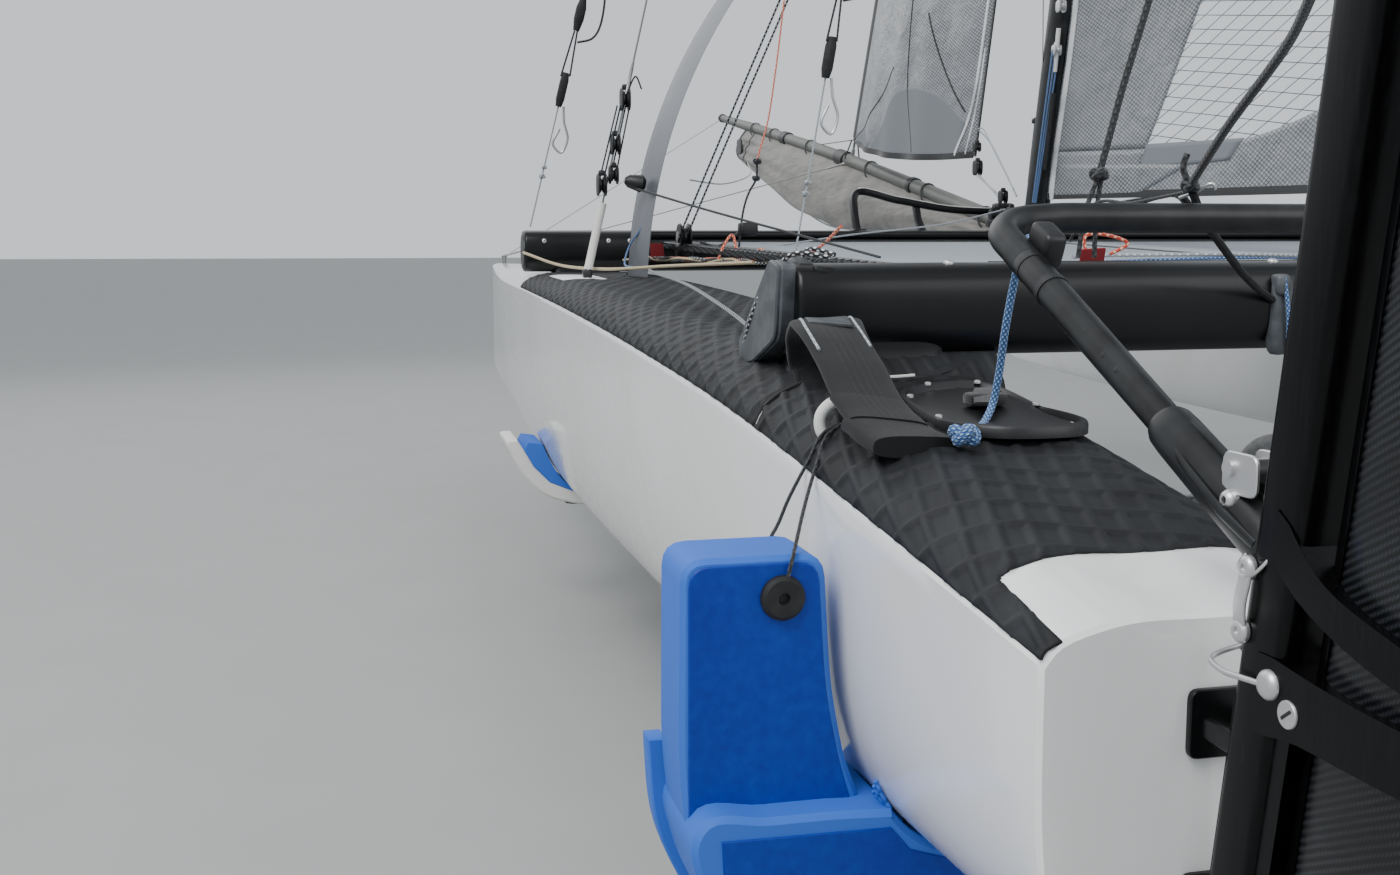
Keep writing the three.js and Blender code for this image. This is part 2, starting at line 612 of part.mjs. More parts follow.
// Every section of a sail is a scaled copy of its foot, so that its facets are flat.
// Mainsail: a cambered sheet behind the mast, with a curved leech and a square head
const tack = onMast(MAIN.tackUp, LUFF_AFT);
const mainFoot = MAIN_CLEW.clone().sub(tack);
function mainsailPoint(u, v) {
  const luff = onMast(MAIN.tackUp + v * (MAIN.headUp - MAIN.tackUp), LUFF_AFT);
  const roach = MAIN.roach * Math.sin(Math.PI * v ** MAIN.swell);
  const chord = THREE.MathUtils.lerp(mainFoot.length(), MAIN.head, v) + roach;
  const belly = -4 * MAIN.camber * u * (1 - u);
  return luff.addScaledVector(mainFoot, (u * chord) / mainFoot.length()).add(vec(0, belly * chord, 0));
}
add("mainsail", sheet(mainsailPoint, MAIN.thick), "laminate");

// Spinnaker pole, rising forward from the front beam, on a bracket at the beam
const poleCurve = [POLE.root, POLE.mid, POLE.tip];
const pole = tube(poleCurve, POLE.radius, 12, 12);
const poleGrown = tube(poleCurve, POLE.radius + SEAT_GAP, 12, 12);
const poleBracket = block(
  vec(FRONT_BEAM.x + POLE_BRACKET.rear, -POLE_BRACKET.half, POLE_BRACKET.low),
  vec(POLE.root.x + POLE_BRACKET.front, POLE_BRACKET.half, POLE_BRACKET.high),
);
add("spinnaker_pole", union(pole, poleBracket).subtract(beamsGrown), "pole_grey");

// Height of the pole's middle line at x: its chord, and a bulge over it.
const chordHeight = (x) => THREE.MathUtils.mapLinear(x, POLE.root.x, POLE.tip.x, POLE.root.z, POLE.tip.z);
const poleBulge = POLE.mid.z - chordHeight(POLE.mid.x);
function poleHeight(x) {
  const share = (x - POLE.root.x) / (POLE.tip.x - POLE.root.x);
  return chordHeight(x) + poleBulge * 4 * share * (1 - share);
}

// Sock, hung against the underside of the pole
const sockRings = SOCK.map(({ x, half, low }) => {
  const high = poleHeight(x) - SOCK_FORM.hang;
  const [middle, tall] = [(high + low) / 2, (high - low) / 2];
  const ring = [];
  for (let i = 0; i < SOCK_SIDES; i += 1) {
    const angle = (2 * Math.PI * i) / SOCK_SIDES;
    const narrow = SOCK_FORM.wide - SOCK_FORM.taper * Math.sin(angle);
    ring.push(vec(x, half * narrow * Math.cos(angle), middle + tall * Math.sin(angle)));
  }
  return ring;
});
add("spinnaker_sock", largest(loft(sockRings).subtract(poleGrown)), "grey_cloth");

// Standing rigging: forestay, shrouds and bridles, with their deck fittings joined on
const forestayTop = onMast(HOUNDS, FORESTAY_TOP.aft);
const stayUp = forestayTop.clone().sub(FORESTAY_FOOT).normalize();
const stayEnd = rod(
  FORESTAY_FOOT.clone().add(vec(0, 0, -STAY_END.sink)),
  FORESTAY_FOOT.clone().addScaledVector(stayUp, STAY_END.length),
  STAY_END.radius,
);
add("forestay", rod(FORESTAY_FOOT, forestayTop, WIRE).add(stayEnd).subtract(poleGrown), "wire");

const plate = CHAINPLATE;
const chainplate = block(
  plate.at.clone().add(vec(-plate.half, -plate.thick / 2, -plate.down)),
  plate.at.clone().add(vec(plate.half, plate.thick / 2, plate.up)),
);
const shroudFoot = plate.at.clone().add(vec(0, 0, plate.stayUp));
const shroud = rod(shroudFoot, onMast(HOUNDS, SHROUD_TOP.aft, SHROUD_TOP.side), WIRE).add(chainplate);
addPair("shroud", shroud.subtract(hullGrown), "wire");

const eye = BOW_EYE;
const bridleFoot = FORESTAY_FOOT.clone().add(
  vec(-BRIDLE_FOOT.aft, POLE.radius + BRIDLE_FOOT.out, -BRIDLE_FOOT.down),
);
const bridle = union(
  rod(eye.at.clone().add(vec(0, 0, eye.stayUp)), bridleFoot, WIRE),
  rod(eye.at.clone().add(vec(0, 0, -eye.half)), eye.at.clone().add(vec(0, 0, eye.half)), eye.radius),
);
addPair("bridle", bridle.subtract(hullGrown).subtract(poleGrown), "wire");

// Jib: from the forestay's foot to the clew near the mast, hanked on the stay
const jibTack = FORESTAY_FOOT.clone().addScaledVector(stayUp, JIB.tackUp).add(vec(-JIB.gap, 0, 0));
const jibFoot = JIB_CLEW.clone().sub(jibTack);
function jibPoint(u, v) {
  const chord = THREE.MathUtils.lerp(jibFoot.length(), JIB.head, v);
  const arch = 4 * u * (1 - u) * chord;
  return jibTack
    .clone()
    .addScaledVector(stayUp, v * JIB.luff)
    .addScaledVector(jibFoot, (u * chord) / jibFoot.length())
    .add(vec(0, JIB.camber * arch, -JIB.drop * arch));
}
add("jib", sheet(jibPoint, JIB.thick), "laminate");

// Arched jib track in front of the mast, on two feet on the beam
const trackPoints = [
  ...TRACK_HALF.map(([x, y, z]) => vec(x, y, z)),
  TRACK_MIDDLE,
  ...TRACK_HALF.map(([x, y, z]) => vec(x, -y, z)).reverse(),
];
const track = tube(trackPoints, TRACK.radius, TRACK.sides, TRACK.steps);
add("jib_track", track.subtract(beamsGrown).subtract(poleGrown), "black_aluminium");

// Beach dollies: an axle across, two balloon wheels on it, and a cradle under each hull
function axleRod(x, half, grow) {
  const ends = [vec(x, -half - grow, TYRE.radius), vec(x, half + grow, TYRE.radius)];
  return rod(...ends, AXLE.radius + grow, AXLE.sides);
}

function dolly(name, place, cradleShape, cradleFinish) {
  add(`${name}_dolly_axle`, axleRod(place.x, place.axleHalf, 0), "galvanised");
  const cradle = cradleShape.subtract(hullGrown).subtract(axleRod(place.x, place.axleHalf, AXLE.cradleGap));
  addPair(`${name}_cradle`, largest(cradle), cradleFinish);
}

function cradlePlate(half, place) {
  const outline = [
    ...half.map(([y, z]) => [HULL_Y + y, z]),
    ...half.map(([y, z]) => [HULL_Y - y, z]).reverse(),
  ];
  return plateX(outline, place.x - place.rear, place.x + place.front);
}

function frontBlock({ half, inner, outer, low, high }) {
  return block(vec(FRONT_DOLLY.x - half, inner, low), vec(FRONT_DOLLY.x + half, outer, high));
}

const frontCradle = union(
  cradlePlate(FRONT_CRADLE, FRONT_DOLLY),
  frontBlock(FRONT_BAR),
  frontBlock(FRONT_CLAMP),
);
dolly("rear", REAR_DOLLY, cradlePlate(REAR_CRADLE, REAR_DOLLY), "blue_plastic");
dolly("front", FRONT_DOLLY, frontCradle, "white_plastic");

// Balloon tyre and the hub with the rim that it sits on: closed profiles of radius and height.
const bore = AXLE.radius + AXLE.hubGap;
const grooveRadius = TYRE.rim + RIM.groove;
const flangeRadius = TYRE.rim + RIM.flange;
const tyreSection = [];
for (let i = 0; i < TYRE_SIDES; i += 1) {
  const angle = (2 * Math.PI * (i + 0.5)) / TYRE_SIDES;
  const middle = (TYRE.radius + TYRE.rim) / 2;
  const tall = (TYRE.radius - TYRE.rim) / 2 / Math.cos(Math.PI / TYRE_SIDES);
  tyreSection.push([middle + tall * Math.cos(angle), (TYRE.width / 2) * Math.sin(angle)]);
}
const upperHub = [
  [grooveRadius, RIM.grooveHalf],
  [flangeRadius, HUB.rimHalf],
  [HUB.lip, HUB.rimHalf],
  [HUB.hollow, HUB.hollowHalf],
  [HUB.web, HUB.web],
  [HUB.collar, HUB.end],
  [bore, HUB.end],
];
const seatEdge = HUB.rimHalf + 1;
const upperSeat = [
  [grooveRadius + RIM.seat, RIM.grooveHalf],
  [flangeRadius + RIM.seat, seatEdge],
  [RIM.seatInner, seatEdge],
];
// The lower half of a profile mirrors the upper one, and the last point closes it.
function wholeProfile(upper) {
  const lower = upper.map(([radius, height]) => [radius, -height]).reverse();
  return [...lower, ...upper, lower[0]];
}
for (const [end, place] of [["rear", REAR_DOLLY], ["front", FRONT_DOLLY]]) {
  const centre = vec(place.x, WHEEL_Y, TYRE.radius);
  const tyreRing = turned([...tyreSection, tyreSection[0]], centre);
  addPair(`${end}_tyre`, tyreRing.subtract(turned(wholeProfile(upperSeat), centre)), "tyre_rubber");
  addPair(`${end}_hub`, turned(wholeProfile(upperHub), centre), "hub_plastic");
}

// The origin becomes the bottom centre of the whole box.
const box = new THREE.Box3().setFromObject(boat);
boat.position.set(-(box.min.x + box.max.x) / 2, -(box.min.y + box.max.y) / 2, -box.min.z);
const object = new THREE.Group();
object.add(boat);

export default object;
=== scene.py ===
"""A beach sailing catamaran on its launching dollies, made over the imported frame.

Shapes are worked out in boat metres: x runs forward from the port transom, y to port and z up
from the ground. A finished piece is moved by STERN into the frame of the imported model.
"""

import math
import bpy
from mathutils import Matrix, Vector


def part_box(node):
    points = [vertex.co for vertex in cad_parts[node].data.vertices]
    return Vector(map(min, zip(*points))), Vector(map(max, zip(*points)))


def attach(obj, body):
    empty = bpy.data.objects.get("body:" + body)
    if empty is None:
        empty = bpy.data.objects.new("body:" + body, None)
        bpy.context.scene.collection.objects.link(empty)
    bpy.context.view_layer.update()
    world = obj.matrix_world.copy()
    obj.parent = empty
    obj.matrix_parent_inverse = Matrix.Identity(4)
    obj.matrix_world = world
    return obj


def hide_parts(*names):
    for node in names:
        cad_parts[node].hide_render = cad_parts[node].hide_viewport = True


bl_info = {
    "name": "Sailing catamaran",
    "version": (1, 0, 0),
    "blender": (4, 5, 0),
    "location": "View3D > Sidebar > Catamaran",
    "description": "Builds a beach catamaran with its rig, rudders and dollies",
    "category": "Object",
}

import bpy
import numpy as np
from bpy.props import FloatProperty, FloatVectorProperty, PointerProperty
from mathutils import Matrix, Vector

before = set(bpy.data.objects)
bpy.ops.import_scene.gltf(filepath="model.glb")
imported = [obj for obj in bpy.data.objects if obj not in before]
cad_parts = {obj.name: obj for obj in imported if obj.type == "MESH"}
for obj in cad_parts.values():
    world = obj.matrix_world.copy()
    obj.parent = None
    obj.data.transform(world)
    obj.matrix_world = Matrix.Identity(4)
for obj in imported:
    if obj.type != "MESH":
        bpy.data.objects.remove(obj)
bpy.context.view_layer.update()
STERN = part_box("port_hull")[0].x
SIDES = ((1, "port"), (-1, "starboard"))
AHEAD = (1, 0, 0)
PORT = (0, 1, 0)
UP = (0, 0, 1)


# Shapes: each gives (points, faces, flat coordinates of every face corner).


def unit(v):
    """A vector, or each row of an array of vectors, at length one."""
    v = np.asarray(v, float)
    return v / np.linalg.norm(v, axis=-1, keepdims=True)


def smooth_step(low, high, value):
    """0 below low, 1 above high, and the cubic 3t^2 - 2t^3 between them."""
    t = np.clip((value - low) / (high - low), 0, 1)
    return t * t * (3 - 2 * t)


def through(at, values, where):
    """Smooth values at the places where: a cubic joins each two given values, and its slope at a
    given value is the mean of the slopes on its two sides, weighted by their spans."""
    at = np.asarray(at, float)
    values = np.asarray(values, float)
    slope = np.gradient(values, at, axis=0)
    i = np.clip(np.searchsorted(at, where, side="right") - 1, 0, len(at) - 2)
    shape = (-1,) + (1,) * (values.ndim - 1)
    span = (at[i + 1] - at[i]).reshape(shape)
    t = (where - at[i]).reshape(shape) / span
    start = values[i] * (2 * t**3 - 3 * t**2 + 1) + span * slope[i] * (t**3 - 2 * t**2 + t)
    end = values[i + 1] * (3 * t**2 - 2 * t**3) + span * slope[i + 1] * (t**3 - t**2)
    return start + end


def curve(points, count=40):
    """count points on a smooth line through the given ones, by the distance run along them."""
    points = np.asarray(points, float)
    run = np.linalg.norm(np.diff(points, axis=0), axis=1)
    at = np.concatenate([[0], np.cumsum(run)])
    return through(at, points, np.linspace(0, at[-1], count))


def corner_flats(rows, columns, wide, long, around):
    """Flat coordinates in metres for the four corners of every quad: across, then along."""
    r, c = np.meshgrid(np.arange(rows - 1), np.arange(columns if around else columns - 1), indexing="ij")
    steps = columns if around else columns - 1
    u = np.stack([c, c + 1, c + 1, c], -1) * wide / steps
    v = np.asarray(long)[np.stack([r, r, r + 1, r + 1], -1)]
    return np.stack([u, v], -1).reshape(-1, 2)


def skin(points, around=False, ends=False, loop=False):
    """Quads over a grid of points, rows by columns. around joins the last column to the first, loop
    the last row to the first, and ends closes the first and last rows with one face each."""
    points = np.asarray(points, float)
    if loop:
        points = np.concatenate([points, points[:1]])
    rows, columns = points.shape[:2]
    step = np.linalg.norm(np.diff(points, axis=0), axis=2).mean(1)
    long = np.concatenate([[0], np.cumsum(step)])
    wide = np.linalg.norm(np.diff(points, axis=1), axis=2).sum(1).max()
    flats = corner_flats(rows, columns, wide, long, around)
    r, c = np.meshgrid(np.arange(rows - 1), np.arange(columns if around else columns - 1), indexing="ij")
    n = (c + 1) % columns
    after = (r + 1) % (rows - 1) if loop else r + 1
    quads = np.stack([r * columns + c, r * columns + n, after * columns + n, after * columns + c], -1)
    faces = quads.reshape(-1, 4).tolist()
    if loop:
        points = points[:-1]
    if ends:
        faces.append(list(range(columns - 1, -1, -1)))
        faces.append(list(range((rows - 1) * columns, rows * columns)))
        flats = np.concatenate([flats, np.zeros((2 * columns, 2))])
    return points.reshape(-1, 3), faces, flats


def join(*shapes):
    """Several shapes as one."""
    points, faces, flats, first = [], [], [], 0
    for shape in shapes:
        points.append(shape[0])
        faces += [[i + first for i in face] for face in shape[1]]
        flats.append(shape[2])
        first += len(shape[0])
    return np.concatenate(points), faces, np.concatenate(flats)


def oval(wide, high, power=1.0, sides=20):
    """A closed outline with those half sizes: cosine and sine raised to a power, which is 1 for an
    ellipse and less for a squarer one."""
    a = np.linspace(0, 2 * np.pi, sides, endpoint=False)
    across = wide * np.sign(np.cos(a)) * np.abs(np.cos(a)) ** power
    return np.stack([across, high * np.sign(np.sin(a)) * np.abs(np.sin(a)) ** power], -1)


def sweep(path, outline, up=None, sizes=1.0, loop=False):
    """Carries an outline along a path. Each ring is the path's point plus the outline's first
    distance to the side and its second upwards, both square to the path. Without up, it is the
    direction that the path turns least towards."""
    path = np.asarray(path, float)
    if loop:
        run = unit(np.roll(path, -1, 0) - np.roll(path, 1, 0))
    else:
        run = unit(np.gradient(path, axis=0))
    if up is None:
        up = np.linalg.svd(run)[2][-1]
    up = np.broadcast_to(np.asarray(up, float), run.shape)
    rise = unit(up - (run * up).sum(1)[:, None] * run)
    side = np.cross(rise, run)
    scale = np.broadcast_to(np.asarray(sizes, float).T, (2, len(path))).T[:, None]
    ring = np.asarray(outline)[None] * scale
    points = path[:, None] + ring[..., :1] * side[:, None] + ring[..., 1:] * rise[:, None]
    return skin(points, around=True, ends=not loop, loop=loop)


def cord_shape(points, thick, count=None, sides=8):
    """A round cord of that thickness through the points."""
    count = count or 8 * len(points)
    return sweep(curve(points, count), oval(thick / 2, thick / 2, 1.0, sides))


def turned(base, axis, rows, sides=24, ends=True):
    """A lathe shape about an axis: each row is a distance along the axis and a radius there."""
    axis = unit(axis)
    side = unit(np.cross(axis, np.eye(3)[np.argmin(np.abs(axis))]))
    across = np.cross(axis, side)
    a = np.linspace(0, 2 * np.pi, sides, endpoint=False)[None, :, None]
    rows = np.asarray(rows, float)[:, None, :]
    points = np.asarray(base) + rows[..., :1] * axis + rows[..., 1:] * (
        np.cos(a) * side + np.sin(a) * across
    )
    return skin(points, around=True, ends=ends)


def block(middle, halves, power=0.3, across=AHEAD, along=PORT, sides=20):
    """A block with rounded edges: a ball's sines and cosines raised to a power below one, times the
    three half sizes along its own directions."""
    across, along = unit(across), unit(along)
    up = np.cross(across, along)
    v = np.linspace(-np.pi / 2, np.pi / 2, sides // 2 + 1)[:, None]
    a = np.linspace(0, 2 * np.pi, sides, endpoint=False)[None]

    def bent(x):
        return np.sign(x) * np.abs(x) ** power

    flat = bent(np.cos(v))
    points = (
        halves[0] * (flat * bent(np.cos(a)))[..., None]
        * across + halves[1] * (flat * bent(np.sin(a)))[..., None]
        * along + halves[2] * (bent(np.sin(v)) * np.ones_like(a))[..., None] * up
    )
    return skin(np.asarray(middle) + points, around=True)


def slab(outline, middle, across, along, thick, edge=0.001):
    """A plate with broken edges: an outline, counter-clockwise, in four levels, of which the lowest
    and the highest are moved in by the edge's size along the outline's inward direction."""
    outline = np.asarray(outline, float)
    run = unit(np.roll(outline, -1, 0) - np.roll(outline, 1, 0))
    inward = np.stack([-run[:, 1], run[:, 0]], -1)
    levels = np.array([
        [-thick / 2, edge], [edge - thick / 2, 0], [thick / 2 - edge, 0], [thick / 2, edge]
    ])
    flat = outline[None] + inward[None] * levels[:, 1, None, None]
    across, along = unit(across), unit(along)
    up = np.cross(across, along)
    points = (
        np.asarray(middle) + flat[..., :1] * across + flat[..., 1:] * along + levels[:, :1, None] * up
    )
    return skin(points, around=True, ends=True)


def rounded(corners, radius, steps=5):
    """A closed outline with each corner turned into an arc, as a quadratic curve between the points
    one radius before and after the corner."""
    corners = np.asarray(corners, float)
    before = unit(np.roll(corners, 1, 0) - corners)
    after = unit(np.roll(corners, -1, 0) - corners)
    radius = np.broadcast_to(np.asarray(radius, float), len(corners))[:, None]
    t = np.linspace(0, 1, steps)[None, :, None]
    first, last = (corners + before * radius)[:, None], (corners + after * radius)[:, None]
    arcs = first * (1 - t) ** 2 + 2 * corners[:, None] * t * (1 - t) + last * t**2
    return arcs.reshape(-1, 2)


def piece(name, shape, finish, side=1, body="root", slot=None, sharp=35, replaces=()):
    """Makes an object from one shape, or a list of them, in boat metres. side -1 mirrors it to
    starboard and turns its faces round, so that they still point outwards. The slot is not used."""
    points, faces, flats = join(*shape) if isinstance(shape, list) else shape
    points = np.asarray(points) * (1, side, 1) + (STERN, 0, 0)
    flats = np.asarray(flats)
    if side < 0:
        faces = [face[::-1] for face in faces]
        ends = np.cumsum([len(face) for face in faces])
        order = np.concatenate([np.arange(e - 1, e - len(f) - 1, -1) for e, f in zip(ends, faces)])
        flats = flats[order]
    mesh = bpy.data.meshes.new(name)
    mesh.from_pydata(points.tolist(), [], faces)
    layer = mesh.uv_layers.new(name="Flat")
    layer.data.foreach_set("uv", flats.astype(np.float32).ravel())
    mesh.validate()
    mesh.shade_smooth()
    mesh.set_sharp_from_angle(angle=math.radians(sharp))
    mesh.materials.append(finish())
    made = bpy.data.objects.new(name, mesh)
    bpy.context.scene.collection.objects.link(made)
    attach(made, body)
    slot or finish.slot
    if replaces:
        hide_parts(*replaces)
    return made


def both(name, shape, finish, body="", replaces=(), **settings):
    """Makes the port piece and its mirror image to starboard, each with its hand before its name.
    The body and the replaced nodes are named without their hand, and without a body it is the root."""
    made = []
    for side, hand in SIDES:
        own = f"{hand}_{body}" if body else "root"
        nodes = [f"{hand}_{node}" for node in replaces]
        made.append(piece(f"{hand}_{name}", shape, finish, side, own, replaces=nodes, **settings))
    return made


def thicken(made, thick, inward=1.0):
    """Gives a surface a wall by a Solidify modifier: inward 1 puts it all behind the faces, and 0
    half of it on each side."""
    wall = made.modifiers.new("Wall", "SOLIDIFY")
    wall.thickness = thick
    wall.offset = -inward
    wall.use_even_offset = True


# Finishes: each is one material, with its pattern sized in metres. The rear cradles' deeper blue is painted
# shade.


def linear(code):
    """A colour written as an sRGB hex code, as the linear values that Blender works in."""
    value = np.array([int(code[i : i + 2], 16) for i in (1, 3, 5)]) / 255
    value = np.where(value <= 0.04045, value / 12.92, ((value + 0.055) / 1.055) ** 2.4)
    return (*value.tolist(), 1.0)


def add(tree, kind, links=None, **settings):
    """Adds one node with its settings, and with a value or a link for each named input."""
    made = tree.nodes.new("ShaderNode" + kind)
    for name, value in settings.items():
        setattr(made, name, value)
    for name, value in (links or {}).items():
        if isinstance(value, bpy.types.NodeSocket):
            tree.links.new(value, made.inputs[name])
        else:
            made.inputs[name].default_value = value
    return made


def shaded(tree, shader, factor, codes, places):
    """Colours the surface by a ramp: each colour code at its place on the factor."""
    ramp = add(tree, "ValToRGB", {"Fac": factor})
    for place in places[2:]:
        ramp.color_ramp.elements.new(0.5)
    for stop, place, code in zip(ramp.color_ramp.elements, places, codes):
        stop.position = place
        stop.color = linear(code)
    tree.links.new(ramp.outputs["Color"], shader.inputs["Base Color"])


def tint(tree, shader, factor, first, second, low=0.0, high=1.0):
    """Colours the surface from the first to the second as the factor goes from low to high."""
    shaded(tree, shader, factor, (first, second), (low, high))


def noise(tree, vector, scale, detail):
    """Cloudy noise with that many features to a metre and that many finer octaves."""
    return add(tree, "TexNoise", {"Vector": vector, "Scale": scale, "Detail": detail}).outputs["Fac"]


def raised(tree, shader, height, depth, strength=1.0, over=None):
    """Lets a pattern's height, times a depth in metres, tilt the surface, over another such tilt."""
    links = {"Height": height, "Distance": depth, "Strength": strength}
    if over is not None:
        links["Normal"] = over
    bump = add(tree, "Bump", links)
    tree.links.new(bump.outputs["Normal"], shader.inputs["Normal"])
    return bump.outputs["Normal"]


def waves(tree, vector, period, direction, distortion=0.0):
    """Straight waves of that period in metres. A wave node repeats every 0.31416 over its scale
    along an axis, and twice that along its diagonal."""
    long = 0.62832 if direction == "DIAGONAL" else 0.31416
    links = {"Vector": vector, "Scale": long / period, "Distortion": distortion}
    return add(tree, "TexWave", links, bands_direction=direction).outputs["Fac"]


def combined(tree, operation, first, second):
    """One number from two, by an arithmetic operation."""
    return add(tree, "Math", {0: first, 1: second}, operation=operation).outputs[0]


def turned_place(tree, vector, angles, scale=(1, 1, 1)):
    """Coordinates turned by the angles in degrees."""
    turn = [math.radians(a) for a in angles]
    return add(tree, "Mapping", {"Vector": vector, "Rotation": turn, "Scale": scale}).outputs[0]


def finish(slot):
    """Lets many pieces ask for a finish that is made only once, under its function's name, and
    keeps the name of the slot that it mostly stands for."""

    def wrap(build):
        def give():
            made = bpy.data.materials.get(build.__name__)
            if made is None:
                made = bpy.data.materials.new(build.__name__)
                made.use_nodes = True
                tree = made.node_tree
                place = add(tree, "TexCoord").outputs
                build(tree, tree.nodes["Principled BSDF"], place["Object"], place["UV"])
            return made

        give.slot = slot
        return give

    return wrap


def even(shader, code, rough, metallic=0.0, **sockets):
    """Sets a shader's values that are the same all over, on its own sockets."""
    values = {"Base Color": linear(code), "Roughness": rough, "Metallic": metallic}
    values |= {name.replace("_", " "): value for name, value in sockets.items()}
    for name, value in values.items():
        shader.inputs[name].default_value = value


def colour(name):
    """A user's colour from the panel, as an sRGB hex code."""
    value = np.array(getattr(bpy.context.scene.catamaran_colours, name)[:])
    value = np.where(value <= 0.0031308, value * 12.92, 1.055 * value ** (1 / 2.4) - 0.055)
    return "#" + "".join(f"{int(round(float(v) * 255)):02x}" for v in value)


@finish("gelcoat")
def white_gelcoat(tree, shader, place, flat):
    """Polished polyester gelcoat: glossy white, a little waved, with faint dull salt marks."""
    even(shader, colour("hull"), 0.16, Coat_Weight=0.5, Coat_Roughness=0.06)
    marks = noise(tree, place, 4.0, 6.0)
    tint(tree, shader, marks, colour("hull"), "#dfe0dd", 0.45, 0.85)
    salt = noise(tree, place, 70.0, 3.0)
    dull = add(tree, "MapRange", {"Value": salt, "From Min": 0.5, "To Min": 0.14, "To Max": 0.34})
    tree.links.new(dull.outputs[0], shader.inputs["Roughness"])
    wave = noise(tree, place, 9.0, 1.0)
    raised(tree, shader, wave, 0.0015, 0.35)


@finish("gelcoat")
def gritted_gelcoat(tree, shader, place, flat):
    """Gelcoat moulded with a non-skid grain of about 2 mm: white and matt."""
    even(shader, "#e6e7e6", 0.55)
    grain = add(tree, "TexVoronoi", {"Vector": place, "Scale": 420.0}).outputs["Distance"]
    raised(tree, shader, grain, 0.0006, 0.7)


@finish("gelcoat")
def deck_foam(tree, shader, place, flat):
    """Brushed EVA foam: charcoal, matt, with a fine skin grain and lighter rubbed patches."""
    even(shader, colour("deck"), 0.62, Specular_IOR_Level=0.25)
    worn = noise(tree, place, 16.0, 5.0)
    tint(tree, shader, worn, colour("deck"), "#2a2c2f", 0.35, 0.8)
    raised(tree, shader, noise(tree, place, 900.0, 2.0), 0.0004, 0.5)


@finish("black_aluminium")
def anodised_black(tree, shader, place, flat):
    """Extruded aluminium, anodised black: satin, with faint draw lines along it."""
    even(shader, "#060708", 0.32, Specular_IOR_Level=0.3)
    long = turned_place(tree, place, (0, 0, 0), (1.0, 0.02, 1.0))
    lines = noise(tree, long, 160.0, 3.0)
    raised(tree, shader, lines, 0.0003, 0.25)
    worn = noise(tree, place, 7.0, 6.0)
    tint(tree, shader, worn, "#060708", "#101113", 0.4, 0.85)


@finish("carbon")
def satin_tube(tree, shader, place, flat):
    """Carbon tube with a satin dark grey lacquer, dimpled a little by handling."""
    even(shader, "#0f1011", 0.36, Specular_IOR_Level=0.35)
    worn = noise(tree, place, 30.0, 7.0)
    tint(tree, shader, worn, "#0c0d0e", "#26282a", 0.35, 0.85)
    raised(tree, shader, worn, 0.0008, 0.35)


@finish("black_aluminium")
def black_plastic(tree, shader, place, flat):
    """Injection moulded glass-filled nylon: near black, with a fine eroded grain."""
    even(shader, "#111214", 0.45)
    grain = noise(tree, place, 500.0, 2.0)
    raised(tree, shader, grain, 0.0003, 0.5)
    tint(tree, shader, grain, "#0c0d0f", "#1c1d20", 0.3, 0.8)


@finish("black_aluminium")
def grey_plastic(tree, shader, place, flat):
    """Moulded nylon in dark slate grey, scuffed lighter."""
    even(shader, "#43474b", 0.5)
    scuff = noise(tree, place, 45.0, 6.0)
    tint(tree, shader, scuff, "#3b3f43", "#5c6064", 0.4, 0.85)
    raised(tree, shader, scuff, 0.0004, 0.4)


@finish("stainless")
def stainless(tree, shader, place, flat):
    """Polished stainless steel with fine brushed marks and tarnish in patches."""
    even(shader, "#b2b2ae", 0.24, 1.0)
    brushed = turned_place(tree, place, (0, 25, 40), (1.0, 12.0, 12.0))
    lines = noise(tree, brushed, 120.0, 2.0)
    rough = add(tree, "MapRange", {"Value": lines, "To Min": 0.18, "To Max": 0.42})
    tree.links.new(rough.outputs[0], shader.inputs["Roughness"])
    stain = noise(tree, place, 60.0, 5.0)
    tint(tree, shader, stain, "#b4b4b0", "#7d7b75", 0.45, 0.85)


@finish("carbon")
def smooth_carbon(tree, shader, place, flat):
    """Pultruded carbon under clear lacquer: black and glossy, with faint scratches that run up and down it.
    """
    even(shader, "#060607", 0.26, Specular_IOR_Level=0.15)
    long = turned_place(tree, place, (0, 8, 0), (14.0, 14.0, 1.0))
    lines = noise(tree, long, 22.0, 4.0)
    tint(tree, shader, lines, "#050506", "#131416", 0.5, 0.95)
    raised(tree, shader, lines, 0.0003, 0.2)


@finish("woven_carbon")
def twill_carbon(tree, shader, place, flat):
    """Two by two twill carbon under lacquer. Its diagonals are 5 mm apart, so that they show."""
    even(shader, "#101114", 0.34, Specular_IOR_Level=0.3, Coat_Weight=0.1)
    slanted = turned_place(tree, place, (0, 62, 0))
    ribs = waves(tree, slanted, 0.0052, "X", 0.6)
    tows = waves(tree, turned_place(tree, place, (0, 17, 0)), 0.0026, "X")
    weave = combined(tree, "MULTIPLY", ribs, combined(tree, "ADD", tows, 0.6))
    cloud = noise(tree, place, 11.0, 5.0)
    weave = combined(tree, "MULTIPLY", weave, cloud)
    tint(tree, shader, weave, "#070809", "#2a2c31", 0.15, 0.8)
    raised(tree, shader, ribs, 0.0004, 0.4)


@finish("grey_board")
def grey_board(tree, shader, place, flat):
    """Painted carbon board: blue-grey, satin, rubbed along its length."""
    even(shader, "#262c33", 0.45, Specular_IOR_Level=0.3)
    long = turned_place(tree, place, (0, 0, 0), (6.0, 6.0, 1.0))
    rub = noise(tree, long, 9.0, 6.0)
    tint(tree, shader, rub, "#262c33", "#333a42", 0.4, 0.85)
    raised(tree, shader, rub, 0.0004, 0.2)


